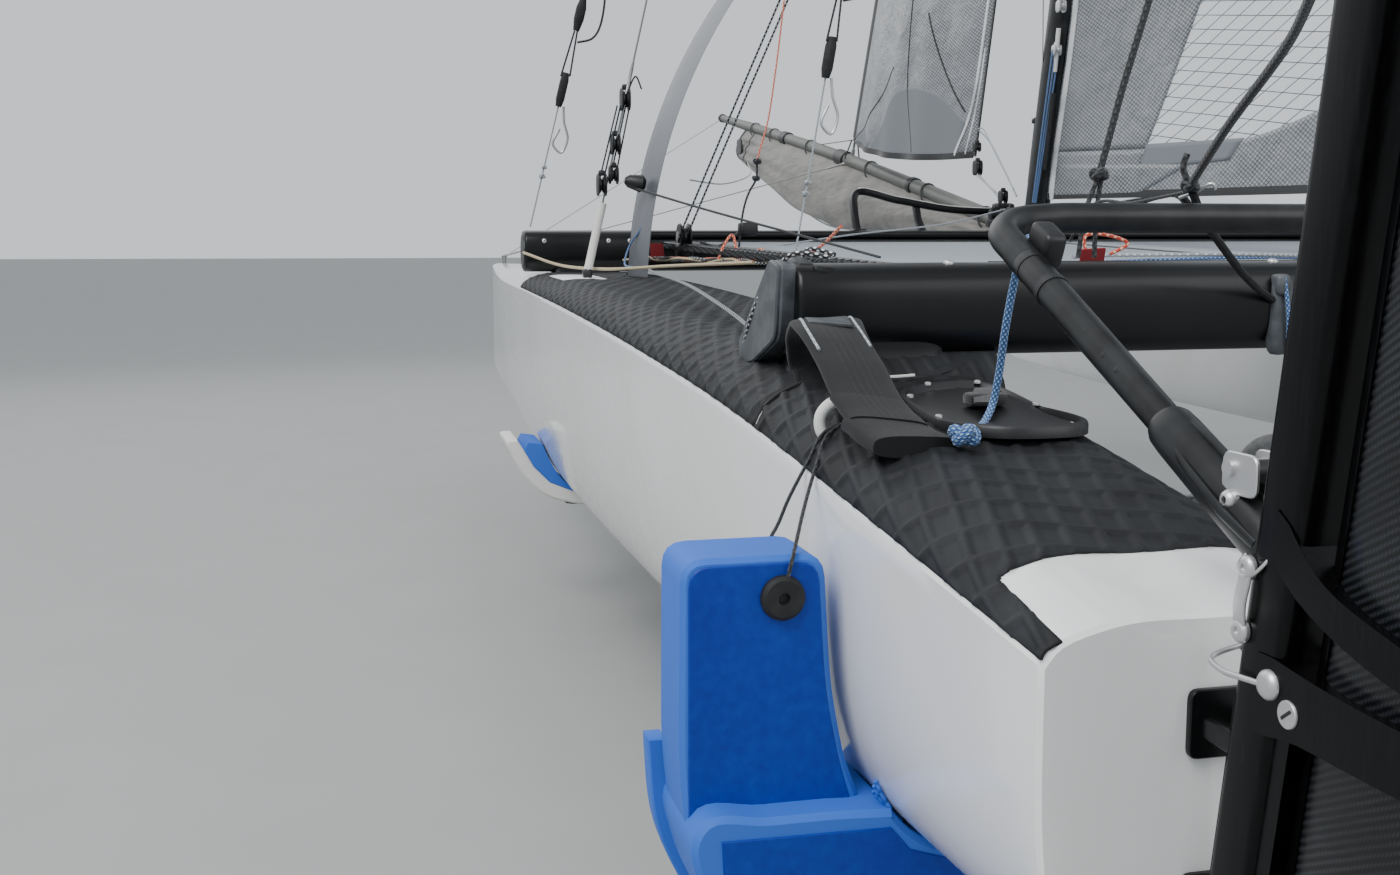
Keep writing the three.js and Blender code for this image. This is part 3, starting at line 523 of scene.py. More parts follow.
@finish("trampoline_mesh")
def trampoline_mesh(tree, shader, place, flat):
    """Coated polyester mesh: light grey plain weave, drawn 6 mm coarse, a little dusty."""
    even(shader, colour("trampoline"), 0.6, Sheen_Weight=0.15)
    warp, weft = waves(tree, place, 0.006, "X"), waves(tree, place, 0.006, "Y")
    threads = combined(tree, "MULTIPLY", warp, weft)
    tint(tree, shader, threads, colour("trampoline"), "#9b9fa6", 0.1, 0.9)
    raised(tree, shader, threads, 0.0006, 0.5)


@finish("sail_laminate")
def webbing(tree, shader, place, flat):
    """Woven black polyester webbing with 2 mm ribs across it."""
    even(shader, "#0e0f11", 0.75, Sheen_Weight=0.25)
    ribs = combined(tree, "MULTIPLY", waves(tree, flat, 0.003, "Y"), waves(tree, flat, 0.002, "X"))
    tint(tree, shader, ribs, "#090a0b", "#24262a")
    raised(tree, shader, ribs, 0.0005, 0.6)


@finish("gelcoat")
def strap_fabric(tree, shader, place, flat):
    """Coarse nylon cloth over foam: black, matt, with lint and a 3 mm weave."""
    even(shader, "#0b0c0d", 0.85, Sheen_Weight=0.08)
    weave = combined(tree, "MULTIPLY", waves(tree, flat, 0.003, "X"), waves(tree, flat, 0.003, "Y"))
    lint = noise(tree, flat, 60.0, 6.0)
    mixed = combined(tree, "MULTIPLY", weave, lint)
    tint(tree, shader, mixed, "#08090a", "#1d1e21", 0.1, 0.7)
    raised(tree, shader, mixed, 0.0008, 0.6)


@finish("sail_laminate")
def laminate_cloth(tree, shader, place, flat):
    """Aramid and film sail laminate: silver, creased, with a dark scrim crossing every 10 mm."""
    even(shader, colour("sail"), 0.3, Specular_IOR_Level=0.7)
    tilted = turned_place(tree, place, (0, 32, 0))
    other = turned_place(tree, place, (0, -38, 0))
    scrim = combined(tree, "MAXIMUM", waves(tree, tilted, 0.01, "Z"), waves(tree, other, 0.01, "Z"))
    cloud = noise(tree, place, 5.0, 7.0)
    cloud = add(tree, "MapRange", {"Value": cloud, "To Min": 0.6, "To Max": 0.85}).outputs[0]
    mixed = combined(tree, "MULTIPLY", scrim, cloud)
    tint(tree, shader, mixed, colour("sail"), "#16181b", 0.48, 0.78)
    creases = add(tree, "TexNoise", {"Vector": tilted, "Scale": 3.0, "Detail": 8.0, "Roughness": 0.6})
    over = raised(tree, shader, creases.outputs["Fac"], 0.05, 0.6)
    raised(tree, shader, scrim, 0.0004, 0.3, over)


@finish("sail_laminate")
def clear_film(tree, shader, place, flat):
    """Clear polyester film with thin grey yarns laid criss-cross about 35 mm apart."""
    even(shader, "#dfe6ec", 0.08, Specular_IOR_Level=0.6)
    first = waves(tree, turned_place(tree, place, (0, 9, 0)), 0.034, "Z")
    second = waves(tree, turned_place(tree, place, (0, -24, 0)), 0.036, "Z")
    yarns = combined(tree, "MAXIMUM", first, second)
    tint(tree, shader, yarns, "#dfe6ec", "#3c434b", 0.985, 0.995)
    seen = add(
        tree, "MapRange",
        {"Value": yarns, "From Min": 0.985, "From Max": 0.995, "To Min": 0.12, "To Max": 0.8}
    )
    tree.links.new(seen.outputs[0], shader.inputs["Alpha"])
    creases = noise(tree, place, 6.0, 7.0)
    raised(tree, shader, creases, 0.02, 0.4)


@finish("sail_laminate")
def grey_cloth(tree, shader, place, flat):
    """Sail reinforcing of grey polyester: even, dull, with a fine weave and soft creases."""
    even(shader, "#8b8f95", 0.55, Sheen_Weight=0.15)
    weave = combined(tree, "MULTIPLY", waves(tree, place, 0.003, "X"), waves(tree, place, 0.003, "Z"))
    cloud = noise(tree, place, 6.0, 6.0)
    tint(tree, shader, cloud, "#7b7f86", "#989ca2", 0.3, 0.7)
    over = raised(tree, shader, cloud, 0.012, 0.35)
    raised(tree, shader, weave, 0.0002, 0.2, over)


@finish("sail_laminate")
def white_cloth(tree, shader, place, flat):
    """Bright sail tape: off-white woven polyester with a faint sheen and grey handling marks."""
    even(shader, "#c9cbcd", 0.42, Sheen_Weight=0.2)
    marks = noise(tree, place, 9.0, 8.0)
    tint(tree, shader, marks, "#9b9da0", "#d6d8da", 0.28, 0.55)
    weave = combined(tree, "MULTIPLY", waves(tree, place, 0.004, "X"), waves(tree, place, 0.004, "Z"))
    raised(tree, shader, weave, 0.0003, 0.3)


@finish("grey_cloth")
def sock_cloth(tree, shader, place, flat):
    """Thin ripstop nylon, grey and a little see-through, creased where it is gathered."""
    even(shader, colour("sock"), 0.5, Sheen_Weight=0.3)
    weave = combined(tree, "MULTIPLY", waves(tree, flat, 0.006, "X"), waves(tree, flat, 0.006, "Y"))
    stains = noise(tree, place, 7.0, 8.0)
    tint(tree, shader, stains, "#47443f", colour("sock"), 0.3, 0.62)
    long = turned_place(tree, place, (0, -20, 0), (0.5, 1.0, 2.2))
    folds = noise(tree, long, 9.0, 5.0)
    over = raised(tree, shader, folds, 0.02, 0.6)
    raised(tree, shader, weave, 0.0003, 0.3, over)


@finish("wire")
def wire(tree, shader, place, flat):
    """Stranded stainless wire: grey steel, its strands wound at a slant every 5 mm."""
    even(shader, "#8d9094", 0.35, 0.9)
    strands = waves(tree, turned_place(tree, flat, (0, 0, 35)), 0.004, "X")
    tint(tree, shader, strands, "#4c4f53", "#a5a8ab")
    raised(tree, shader, strands, 0.0006, 0.6)


@finish("pole_grey")
def pole_lacquer(tree, shader, place, flat):
    """Lacquered pole: light warm grey, satin, with rubbed and dirty patches."""
    even(shader, "#5a5c56", 0.45)
    rub = noise(tree, place, 6.0, 8.0)
    tint(tree, shader, rub, "#5a5c56", "#454742", 0.45, 0.8)
    raised(tree, shader, rub, 0.0006, 0.2)


@finish("galvanised_tube")
def galvanised(tree, shader, place, flat):
    """Galvanised steel tube: dull grey, with 15 mm crystal patches."""
    even(shader, "#9a9d9f", 0.42, 1.0)
    flakes = add(tree, "TexVoronoi", {"Vector": place, "Scale": 65.0}).outputs["Distance"]
    tint(tree, shader, flakes, "#a7aaac", "#7e8183", 0.0, 0.8)
    raised(tree, shader, flakes, 0.0003, 0.3)


def moulded(tree, shader, place, light, scuffed, dark):
    """Rotation moulded polyethylene in one colour: soft gloss, scuffed pale, a little uneven."""
    even(shader, light, 0.5, Specular_IOR_Level=0.3)
    scuff = noise(tree, place, 90.0, 8.0)
    wide = noise(tree, place, 5.0, 3.0)
    mixed = combined(tree, "MULTIPLY", scuff, wide)
    shaded(tree, shader, mixed, (dark, light, scuffed), (0.1, 0.36, 0.6))
    raised(tree, shader, scuff, 0.0006, 0.35)


@finish("blue_plastic")
def blue_plastic(tree, shader, place, flat):
    """The rear cradles' bright blue."""
    moulded(tree, shader, place, colour("cradle"), "#1f80ee", "#0050cc")


@finish("blue_plastic")
def deep_blue_plastic(tree, shader, place, flat):
    """The rear cradles' plastic in a deeper blue: painted shade for their faces that look fore and aft."""
    moulded(tree, shader, place, "#00379c", "#0b4fb6", "#00248a")


@finish("gelcoat")
def white_plastic(tree, shader, place, flat):
    """The front cradles' white."""
    moulded(tree, shader, place, "#e4e5e2", "#f4f4f2", "#c9cbc8")


@finish("balloon_tyre")
def tyre_rubber(tree, shader, place, flat):
    """Soft blown PVC balloon tyre: grey, satin, sandy, with fine mould lines round it."""
    even(shader, "#7d8083", 0.55)
    sand = noise(tree, place, 25.0, 9.0)
    tint(tree, shader, sand, "#74777a", "#a39c8f", 0.45, 0.8)
    raised(tree, shader, waves(tree, place, 0.011, "Y"), 0.0005, 0.3)


@finish("hub_plastic")
def hub_plastic(tree, shader, place, flat):
    """Moulded polyethylene hub: off-white, with darker patches of dirt."""
    moulded(tree, shader, place, "#cfcfca", "#e6e6e2", "#a9a79f")


@finish("wire")
def black_rubber(tree, shader, place, flat):
    """Black rubber: matt, with a bloom of dust."""
    even(shader, "#101112", 0.7)
    bloom = noise(tree, place, 70.0, 5.0)
    tint(tree, shader, bloom, "#0b0c0d", "#26282a", 0.4, 0.9)
    raised(tree, shader, bloom, 0.0003, 0.3)


def braided(tree, shader, flat, ground, fleck, turn=0.006):
    """Braided polyester: two sets of strands wound opposite ways, with flecks of a second colour
    where they cross."""
    even(shader, ground, 0.7, Sheen_Weight=0.2)
    first = waves(tree, turned_place(tree, flat, (0, 0, 32)), turn, "X")
    second = waves(tree, turned_place(tree, flat, (0, 0, -32)), turn, "X")
    strands = combined(tree, "MULTIPLY", first, second)
    tint(tree, shader, strands, ground, fleck, 0.25, 0.6)
    raised(tree, shader, combined(tree, "MAXIMUM", first, second), 0.0008, 0.7)


@finish("wire")
def blue_rope(tree, shader, place, flat):
    """Blue braid with white flecks."""
    braided(tree, shader, flat, "#244f86", "#93aecb", 0.0035)


@finish("wire")
def black_rope(tree, shader, place, flat):
    """Black braid with a few grey flecks."""
    braided(tree, shader, flat, "#101114", "#3a3d42")


@finish("black_aluminium")
def flecked_rope(tree, shader, place, flat):
    """Black braid with white flecks."""
    braided(tree, shader, flat, "#15171a", "#d5d8dc")


@finish("wire")
def grey_rope(tree, shader, place, flat):
    """Grey shrunk single braid."""
    braided(tree, shader, flat, "#8f9499", "#c4c8cc")


@finish(None)
def orange_rope(tree, shader, place, flat):
    """Orange-red braid with pale flecks."""
    braided(tree, shader, flat, "#c8452f", "#eec9a8")


@finish(None)
def tan_rope(tree, shader, place, flat):
    """Sun-bleached tan braid."""
    braided(tree, shader, flat, "#a8946f", "#dcd0b4")


@finish("wire")
def red_cloth(tree, shader, place, flat):
    """Red nylon tag, woven."""
    even(shader, "#b3202c", 0.7, Sheen_Weight=0.2)
    weave = combined(tree, "MULTIPLY", waves(tree, flat, 0.002, "X"), waves(tree, flat, 0.002, "Y"))
    tint(tree, shader, weave, "#8f1622", "#c93340")
    raised(tree, shader, weave, 0.0004, 0.5)


@finish(None)
def studio_floor(tree, shader, place, flat):
    """Plain matt floor in a middle grey."""
    even(shader, "#a3a4a3", 0.85)
    grain = noise(tree, place, 3.0, 3.0)
    tint(tree, shader, grain, "#a3a4a3", "#9b9c9b")


# Hulls and deck pads.

HULL_MIDDLE = 1.38
STATION_COLUMNS = ("half", "keel", "sheer", "rise", "full", "lean")
STATION_X = np.array([0.0, 0.3, 0.75, 1.35, 2.05, 2.8, 3.55, 4.25, 4.9, 5.5, 5.95, 6.15])
STATIONS = np.array(
    [
        (0.142, 0.462, 0.720, 0.030, 4.00, 0.00),
        (0.153, 0.440, 0.757, 0.048, 3.50, 0.00),
        (0.166, 0.410, 0.807, 0.055, 3.00, 0.00),
        (0.178, 0.376, 0.847, 0.052, 2.60, 0.00),
        (0.190, 0.351, 0.880, 0.046, 2.35, 0.00),
        (0.196, 0.340, 0.903, 0.041, 2.25, 0.00),
        (0.184, 0.344, 0.914, 0.038, 2.20, 0.00),
        (0.146, 0.356, 0.922, 0.034, 2.15, 0.00),
        (0.100, 0.374, 0.928, 0.028, 2.10, 0.02),
        (0.058, 0.400, 0.934, 0.020, 2.05, 0.08),
        (0.028, 0.428, 0.940, 0.012, 2.00, 0.22),
        (0.011, 0.448, 0.944, 0.006, 2.00, 0.36),
    ]
)
SHOULDER = 0.053
DECK_SHARES = (0.0, 0.56, 0.84, 1.0)


def station(x):
    """The hull's sizes at each x, by the name of the table's column."""
    x = np.asarray(x, float)
    values = through(STATION_X, STATIONS, x.ravel())
    return {name: values[:, i].reshape(x.shape) for i, name in enumerate(STATION_COLUMNS)}


def deck_at(x, q):
    """Points of the deck, out from the hull's middle line: q is 0 on that line, 1 at the sheer and
    -1 at the inboard sheer. Four heights across the deck are joined by smooth weights of q."""
    x, q = np.broadcast_arrays(x, q)
    s = station(x)
    edge = np.minimum(SHOULDER, 0.6 * s["half"])
    top = s["sheer"] + s["rise"]
    out = np.stack([0 * edge, s["half"] - edge, s["half"] - 0.22 * edge, s["half"]], -1)
    up = np.stack([top, top - 0.003, s["sheer"] + 0.45 * s["rise"], s["sheer"]], -1)
    weights = through(DECK_SHARES, np.eye(4), np.abs(q).ravel()).reshape(*q.shape, 4)
    across = (out * weights).sum(-1) * np.sign(q)
    z = (up * weights).sum(-1)
    return np.stack([x - s["lean"] * (z - s["keel"]), across, z], -1)


def deck_width(x):
    """How far out from the hull's middle line the deck reaches at x, by which its places q are scaled."""
    return station(x)["half"] + 0.45 * station(x)["rise"]


def on_deck(x, out, lift=0.0):
    """One point of the port deck at x, that far outboard of the hull's middle line."""
    q = np.linspace(-1, 1, 201)
    across = deck_at(np.full(201, float(x)), q)
    height = np.interp(out, across[:, 1], across[:, 2])
    return np.array([x, HULL_MIDDLE + out, height + lift])


def section_points(s, a):
    """The hull's section below the sheer at the angles a, as out and z: a superellipse quarter, where
    out is half times sine to 2/full, and depth is the keel's times cosine to the same power."""
    power = 2 / s["full"]
    return s["half"] * np.sin(a) ** power, s["sheer"] - (s["sheer"] - s["keel"]) * np.cos(a).clip(0) ** power


def hull_shape():
    """A closed skin over sections along x, with the deck's sections above the sheer."""
    x = np.concatenate([[0.0, 0.004], np.linspace(0.012, STATION_X[-1], 150)])[:, None]
    s = station(x)
    t = np.linspace(0, 1, 30)[None]
    a = np.pi / 2 * (3 * t**2 - 2 * t**3)
    out, z = section_points(s, a)
    side = np.stack([x - s["lean"] * (z - s["keel"]), out, z], -1)
    deck = deck_at(x, np.linspace(1, 0, 17)[None, 1:])
    half = np.concatenate([side, deck], axis=1)
    other = half[:, 1:-1][:, ::-1] * (1, -1, 1)
    ring = np.concatenate([half, other], axis=1)
    middle = ring[0].mean(0)
    ring[0] = middle + (ring[0] - middle) * (1, 0.975, 0.982)
    return skin(ring + (0, HULL_MIDDLE, 0), around=True, ends=True)


# The pad's lattice of ridges: two steps along the deck, as (x, outboard) in metres.
LATTICE_LONG = np.array((-0.0454, 0.0123))
LATTICE_WIDE = np.array((-0.0095, -0.0256))
RIDGE = (0.0026, 0.0058)
PAD_THICK = 0.0045
PAD_RELIEF = 0.0028
CUTOUT = (0.112, 0.123, 0.012)


def lattice_height(x, s):
    """1 on the ridges and 0 in the cells. A point is written as a sum of the two lattice steps, and
    the ridges stand where either share of the sum is whole."""
    long, wide = LATTICE_LONG, LATTICE_WIDE
    area = long[0] * wide[1] - long[1] * wide[0]
    a = (x * wide[1] - s * wide[0]) / area
    b = (s * long[0] - x * long[1]) / area
    near = np.minimum(
        np.abs(a - np.round(a)) * area / np.linalg.norm(wide),
        np.abs(b - np.round(b)) * area / np.linalg.norm(long),
    )
    return 1 - smooth_step(*RIDGE, near)


def box_distance(x, out, box, radius):
    """The distance outside a box with rounded corners, negative inside: the length of what is past
    the box shrunk by the radius, less the radius."""
    low_x, high_x, low_out, high_out = box
    a = np.abs(x - (low_x + high_x) / 2) - (high_x - low_x) / 2 + radius
    b = np.abs(out - (low_out + high_out) / 2) - (high_out - low_out) / 2 + radius
    return np.minimum(np.maximum(a, b), 0) + np.hypot(a.clip(0), b.clip(0)) - radius


def pad_shape(start, end, step, holes=(), reach=0.965, relief=PAD_RELIEF):
    """A foam pad over the deck from start to end: a grid moved out along the deck's normal by the
    lattice's height. Points near a hole's edge are moved onto it, and the faces in it left out."""
    x = np.linspace(start, end, int((end - start) / step) + 1)
    q = np.linspace(reach, -reach, int(0.36 / step) + 1)
    x, q = np.meshgrid(x, q, indexing="ij")
    width = deck_width(x)
    gap = np.full(x.shape, 1.0)
    for box in holes:
        away = box_distance(x, q * width, box[:4], box[4])
        dx = (box_distance(x + 1e-4, q * width, box[:4], box[4]) - away) / 1e-4
        dy = (box_distance(x, q * width + 1e-4, box[:4], box[4]) - away) / 1e-4
        move = np.where(np.abs(away) < 0.6 * step, -away, 0)
        x = x + move * dx
        q = q + move * dy / width
        gap = np.minimum(gap, np.where(np.abs(away) < 0.6 * step, 0, away))
    base = deck_at(x, q)
    normal = unit(np.cross(np.gradient(base, axis=1), np.gradient(base, axis=0)))
    border = np.minimum(x - start, end - x)
    border = np.minimum(border, (reach - np.abs(q)) * width)
    rim = smooth_step(0, 0.004, np.minimum(border, gap)) * 0.4 + 0.6
    height = PAD_THICK * rim - relief * (1 - lattice_height(x, q * width))
    height = np.maximum(height, 0.0008)
    points, faces, flats = skin(base + (0, HULL_MIDDLE, 0) + normal * height[..., None])
    whole = (gap.ravel()[np.array(faces)] > -1e-6).all(1)
    flats = flats.reshape(-1, 4, 2)[whole].reshape(-1, 2)
    return points, np.array(faces)[whole].tolist(), flats


def make_hulls():
    """Both hulls, their foam pads and the bare gritted patches, port and starboard."""
    stern = (-1.0, CUTOUT[0], -1.0, CUTOUT[1], CUTOUT[2])
    patch = (2.5, 2.84, 0.015, 0.115, 0.03)
    for side, hand in SIDES:
        fine = 0.003 if side > 0 else 0.005
        piece(
            f"{hand}_hull_shell", hull_shape(), white_gelcoat, side, sharp=28, replaces=[f"{hand}_hull"]
        )
        rear = piece(
            f"{hand}_rear_pad", pad_shape(0.002, 0.684, fine, [stern]), deck_foam, side, sharp=60
        )
        thicken(rear, 0.0025)
        front = piece(
            f"{hand}_front_pad", pad_shape(0.688, 2.98, fine + 0.0025, [patch]), deck_foam, side, sharp=60
        )
        thicken(front, 0.0025)
        grit = pad_patch(patch)
        piece(f"{hand}_grit_patch", grit, gritted_gelcoat, side, sharp=60)


def pad_patch(box):
    """A thin raised patch of deck inside a box in the pad, 3 mm clear of the pad's edge."""
    x = np.linspace(box[0] + 0.003, box[1] - 0.003, 60)
    out = np.linspace(box[3] - 0.003, box[2] + 0.003, 30)
    x, out = np.meshgrid(x, out, indexing="ij")
    width = deck_width(x)
    top = deck_at(x, out / width) + (0, HULL_MIDDLE, 0.0015)
    return skin(np.concatenate([top[:1] - (0, 0, 0.004), top, top[-1:] - (0, 0, 0.004)]))


# Deck fittings, beams and trampoline.

HATCH = {"middle": (0.5, -0.045), "long": 0.128, "wide": 0.08}
STRAP_PATH = [
    (0.712, 1.449, 0.85), (0.722, 1.454, 0.88), (0.7, 1.461, 0.909), (0.65, 1.47, 0.926),
    (0.595, 1.48, 0.92), (0.535, 1.48, 0.893), (0.48, 1.48, 0.862), (0.43, 1.477, 0.838),
    (0.39, 1.472, 0.826)
]
STRAP_ACROSS = (0.42, -0.9, 0.0)


def hatch_shape():
    """Rings of a squarish oval, each with a share of its size and a height above the deck."""
    rows = np.array([
        (1.0, -0.004), (1.0, 0.005), (0.985, 0.0078), (0.93, 0.0088), (0.905, 0.0062), (0.885, 0.0012),
        (0.8, 0.003), (0.72, 0.0052), (0.4, 0.0066), (0.02, 0.0072)
    ])
    outline = oval(HATCH["long"], HATCH["wide"], 0.78, 64)
    x = HATCH["middle"][0] + rows[:, :1] * outline[None, :, 0]
    out = HATCH["middle"][1] + rows[:, :1] * outline[None, :, 1]
    width = deck_width(x)
    points = deck_at(x, out / width)
    points[..., 2] = np.maximum(points[..., 2], points[..., 2].mean() - 0.004) + rows[:, 1:]
    return skin(points + (0, HULL_MIDDLE, PAD_THICK - 0.002), around=True, ends=True)


def ribbon(path, across, wide, thick, power=0.5, sides=20, count=60):
    """A flat band along a path, with its width square to the path and near the given direction."""
    return sweep(curve(path, count), oval(thick / 2, wide / 2, power, sides), across)


def ramp_shape():
    """The deck pad's raised end: a wedge that climbs to the rear beam, ridged as the deck is. The
    ridged face runs aft to forward as t to the power 1.5 while its height grows with t."""
    out = np.linspace(0.104, -0.156, 110)
    foot = np.array([on_deck(0.694, o, 0.0) for o in out])
    t = np.linspace(0, 1, 30)[None]
    z = foot[:, 2:] + (0.887 - foot[:, 2:]) * t
    ridge = lattice_height(-1.15 * (z - 0.8), out[:, None] + 0 * t)
    face_x = 0.689 + 0.034 * t**1.5 + PAD_RELIEF * (1 - ridge)
    face = np.stack([face_x, foot[:, 1:2] + 0 * t, z], -1)
    back = np.stack([0 * foot[:, :1] + 0.745, foot[:, 1:2], 0 * foot[:, :1] + 0.887], -1)
    low = np.stack([0 * foot[:, :1] + 0.745, foot[:, 1:2], foot[:, 2:] - 0.006], -1)
    under = np.stack([0 * foot[:, :1] + 0.69, foot[:, 1:2], foot[:, 2:] - 0.006], -1)
    return skin(np.concatenate([face, back, low, under], axis=1), around=True, ends=True)


def make_deck_fittings():
    """On each hull the hatch with its tab, the padded foot strap, and the stern's small parts."""
    both("ramp_pad", ramp_shape(), deck_foam, sharp=60)
    both("hatch", hatch_shape(), black_plastic, slot="gelcoat", sharp=40)
    lid = on_deck(0.5, -0.045, 0.014)
    tab = [
        ribbon(
            [lid + (0.05, -0.03, 0.002), lid + (0.02, -0.005, 0.012), lid + (-0.035, 0.02, 0.003)],
            (0.5, 0.8, 0), 0.024, 0.003
        ),
        block(lid + (0.0, 0.005, 0.004), (0.014, 0.022, 0.007), 0.4)
    ]
    bolts = [
        rivet(
            on_deck(0.5 + 0.122 * math.cos(a), -0.045 + 0.076 * math.sin(a), 0.0115), UP, 0.004, 0.002,
            0.001
        )
        for a in np.linspace(0.3, 6.6, 9)[:-1]
    ]
    both("hatch_tab", tab, webbing, slot="gelcoat")
    both("hatch_bolts", bolts, stainless)
    straps = both(
        "foot_strap", ribbon(STRAP_PATH, STRAP_ACROSS, 0.084, 0.013, 0.55, 28, 90), strap_fabric, sharp=60
    )
    roll = ribbon(
        [(0.43, 1.478, 0.836), (0.4, 1.474, 0.829), (0.368, 1.468, 0.824)], (0.6, -0.8, 0.0), 0.1, 0.022,
        0.6, 24, 16
    )
    fold = ribbon(
        [(0.47, 1.482, 0.858), (0.445, 1.48, 0.848), (0.42, 1.478, 0.84)], (0.48, -0.88, 0.0), 0.088,
        0.014, 0.6, 24, 16
    )
    both("strap_roll", [roll, fold], strap_fabric, sharp=60)
    across = unit(STRAP_ACROSS)
    top = np.array([
        (0.7, 1.461, 0.9165), (0.65, 1.47, 0.9335), (0.595, 1.48, 0.9275), (0.548, 1.48, 0.907)
    ])
    piping = [cord_shape(top + across * w, 0.0035, 30) for w in (0.038, -0.038)]
    both("strap_piping", piping, grey_rope, slot="gelcoat")
    patch = ribbon(
        [(0.672, 1.466, 0.929), (0.64, 1.472, 0.934), (0.6, 1.479, 0.9295)], STRAP_ACROSS, 0.05, 0.0025,
        0.3, 20, 20
    )
    both("strap_patch", patch, grey_plastic, slot="gelcoat")
    ring = [
        (0.504, 1.492, 0.856), (0.507, 1.508, 0.853), (0.51, 1.519, 0.84), (0.51, 1.518, 0.823),
        (0.506, 1.506, 0.811), (0.502, 1.494, 0.808)
    ]
    both("white_loop", cord_shape(ring, 0.013, 40, 16), white_plastic)
    outs = np.linspace(-0.15, 0.15, 40)
    seam = np.array([on_deck(0.686, out, 0.002) for out in outs])
    both("pad_seam", sweep(seam, oval(0.003, 0.003, 0.6, 8), UP), black_rubber, slot="gelcoat")
    strip = np.array([on_deck(0.69, out, PAD_THICK + 0.0012) for out in np.linspace(0.025, -0.035, 12)])
    both("seam_strip", sweep(strip, oval(0.0016, 0.0035, 0.5, 10), AHEAD), white_plastic)


REAR_BEAM = {"x": 0.764, "top": 0.995, "wide": 0.104, "tall": 0.114, "end": 1.48}
FRONT_BEAM = {"x": 3.096, "top": 1.067, "wide": 0.11, "tall": 0.115, "end": 1.553}
SADDLE_HALF = 0.092


def beam_shape(beam):
    """A squarish tube across the boat, its two ends drawn in to a rounded edge."""
    y = np.concatenate([
        [-beam["end"], -beam["end"] + 0.002], np.linspace(-beam["end"] + 0.006, beam["end"] - 0.006, 40),
        [beam["end"] - 0.002, beam["end"]]
    ])
    path = np.stack([np.full(len(y), beam["x"]), y, np.full(len(y), beam["top"] - beam["tall"] / 2)], -1)
    sizes = np.ones(len(y))
    sizes[[0, -1]] = 0.94
    sizes[[1, -2]] = 0.98
    return sweep(path, oval(beam["wide"] / 2, beam["tall"] / 2, 0.7, 56), UP, sizes)


def saddle_shape(beam, side):
    """The foot that carries a beam on a hull: an oval neck that spreads onto the deck."""
    low = beam["top"] - 0.15
    z = np.linspace(low, beam["top"] - 0.05, 12)
    grow = 1 + 0.16 * (1 - smooth_step(low, low + 0.05, z))
    path = np.stack([np.full(12, beam["x"]), np.full(12, side * HULL_MIDDLE), z], -1)
    return sweep(path, oval(SADDLE_HALF, 0.046, 0.35, 40), AHEAD, grow)


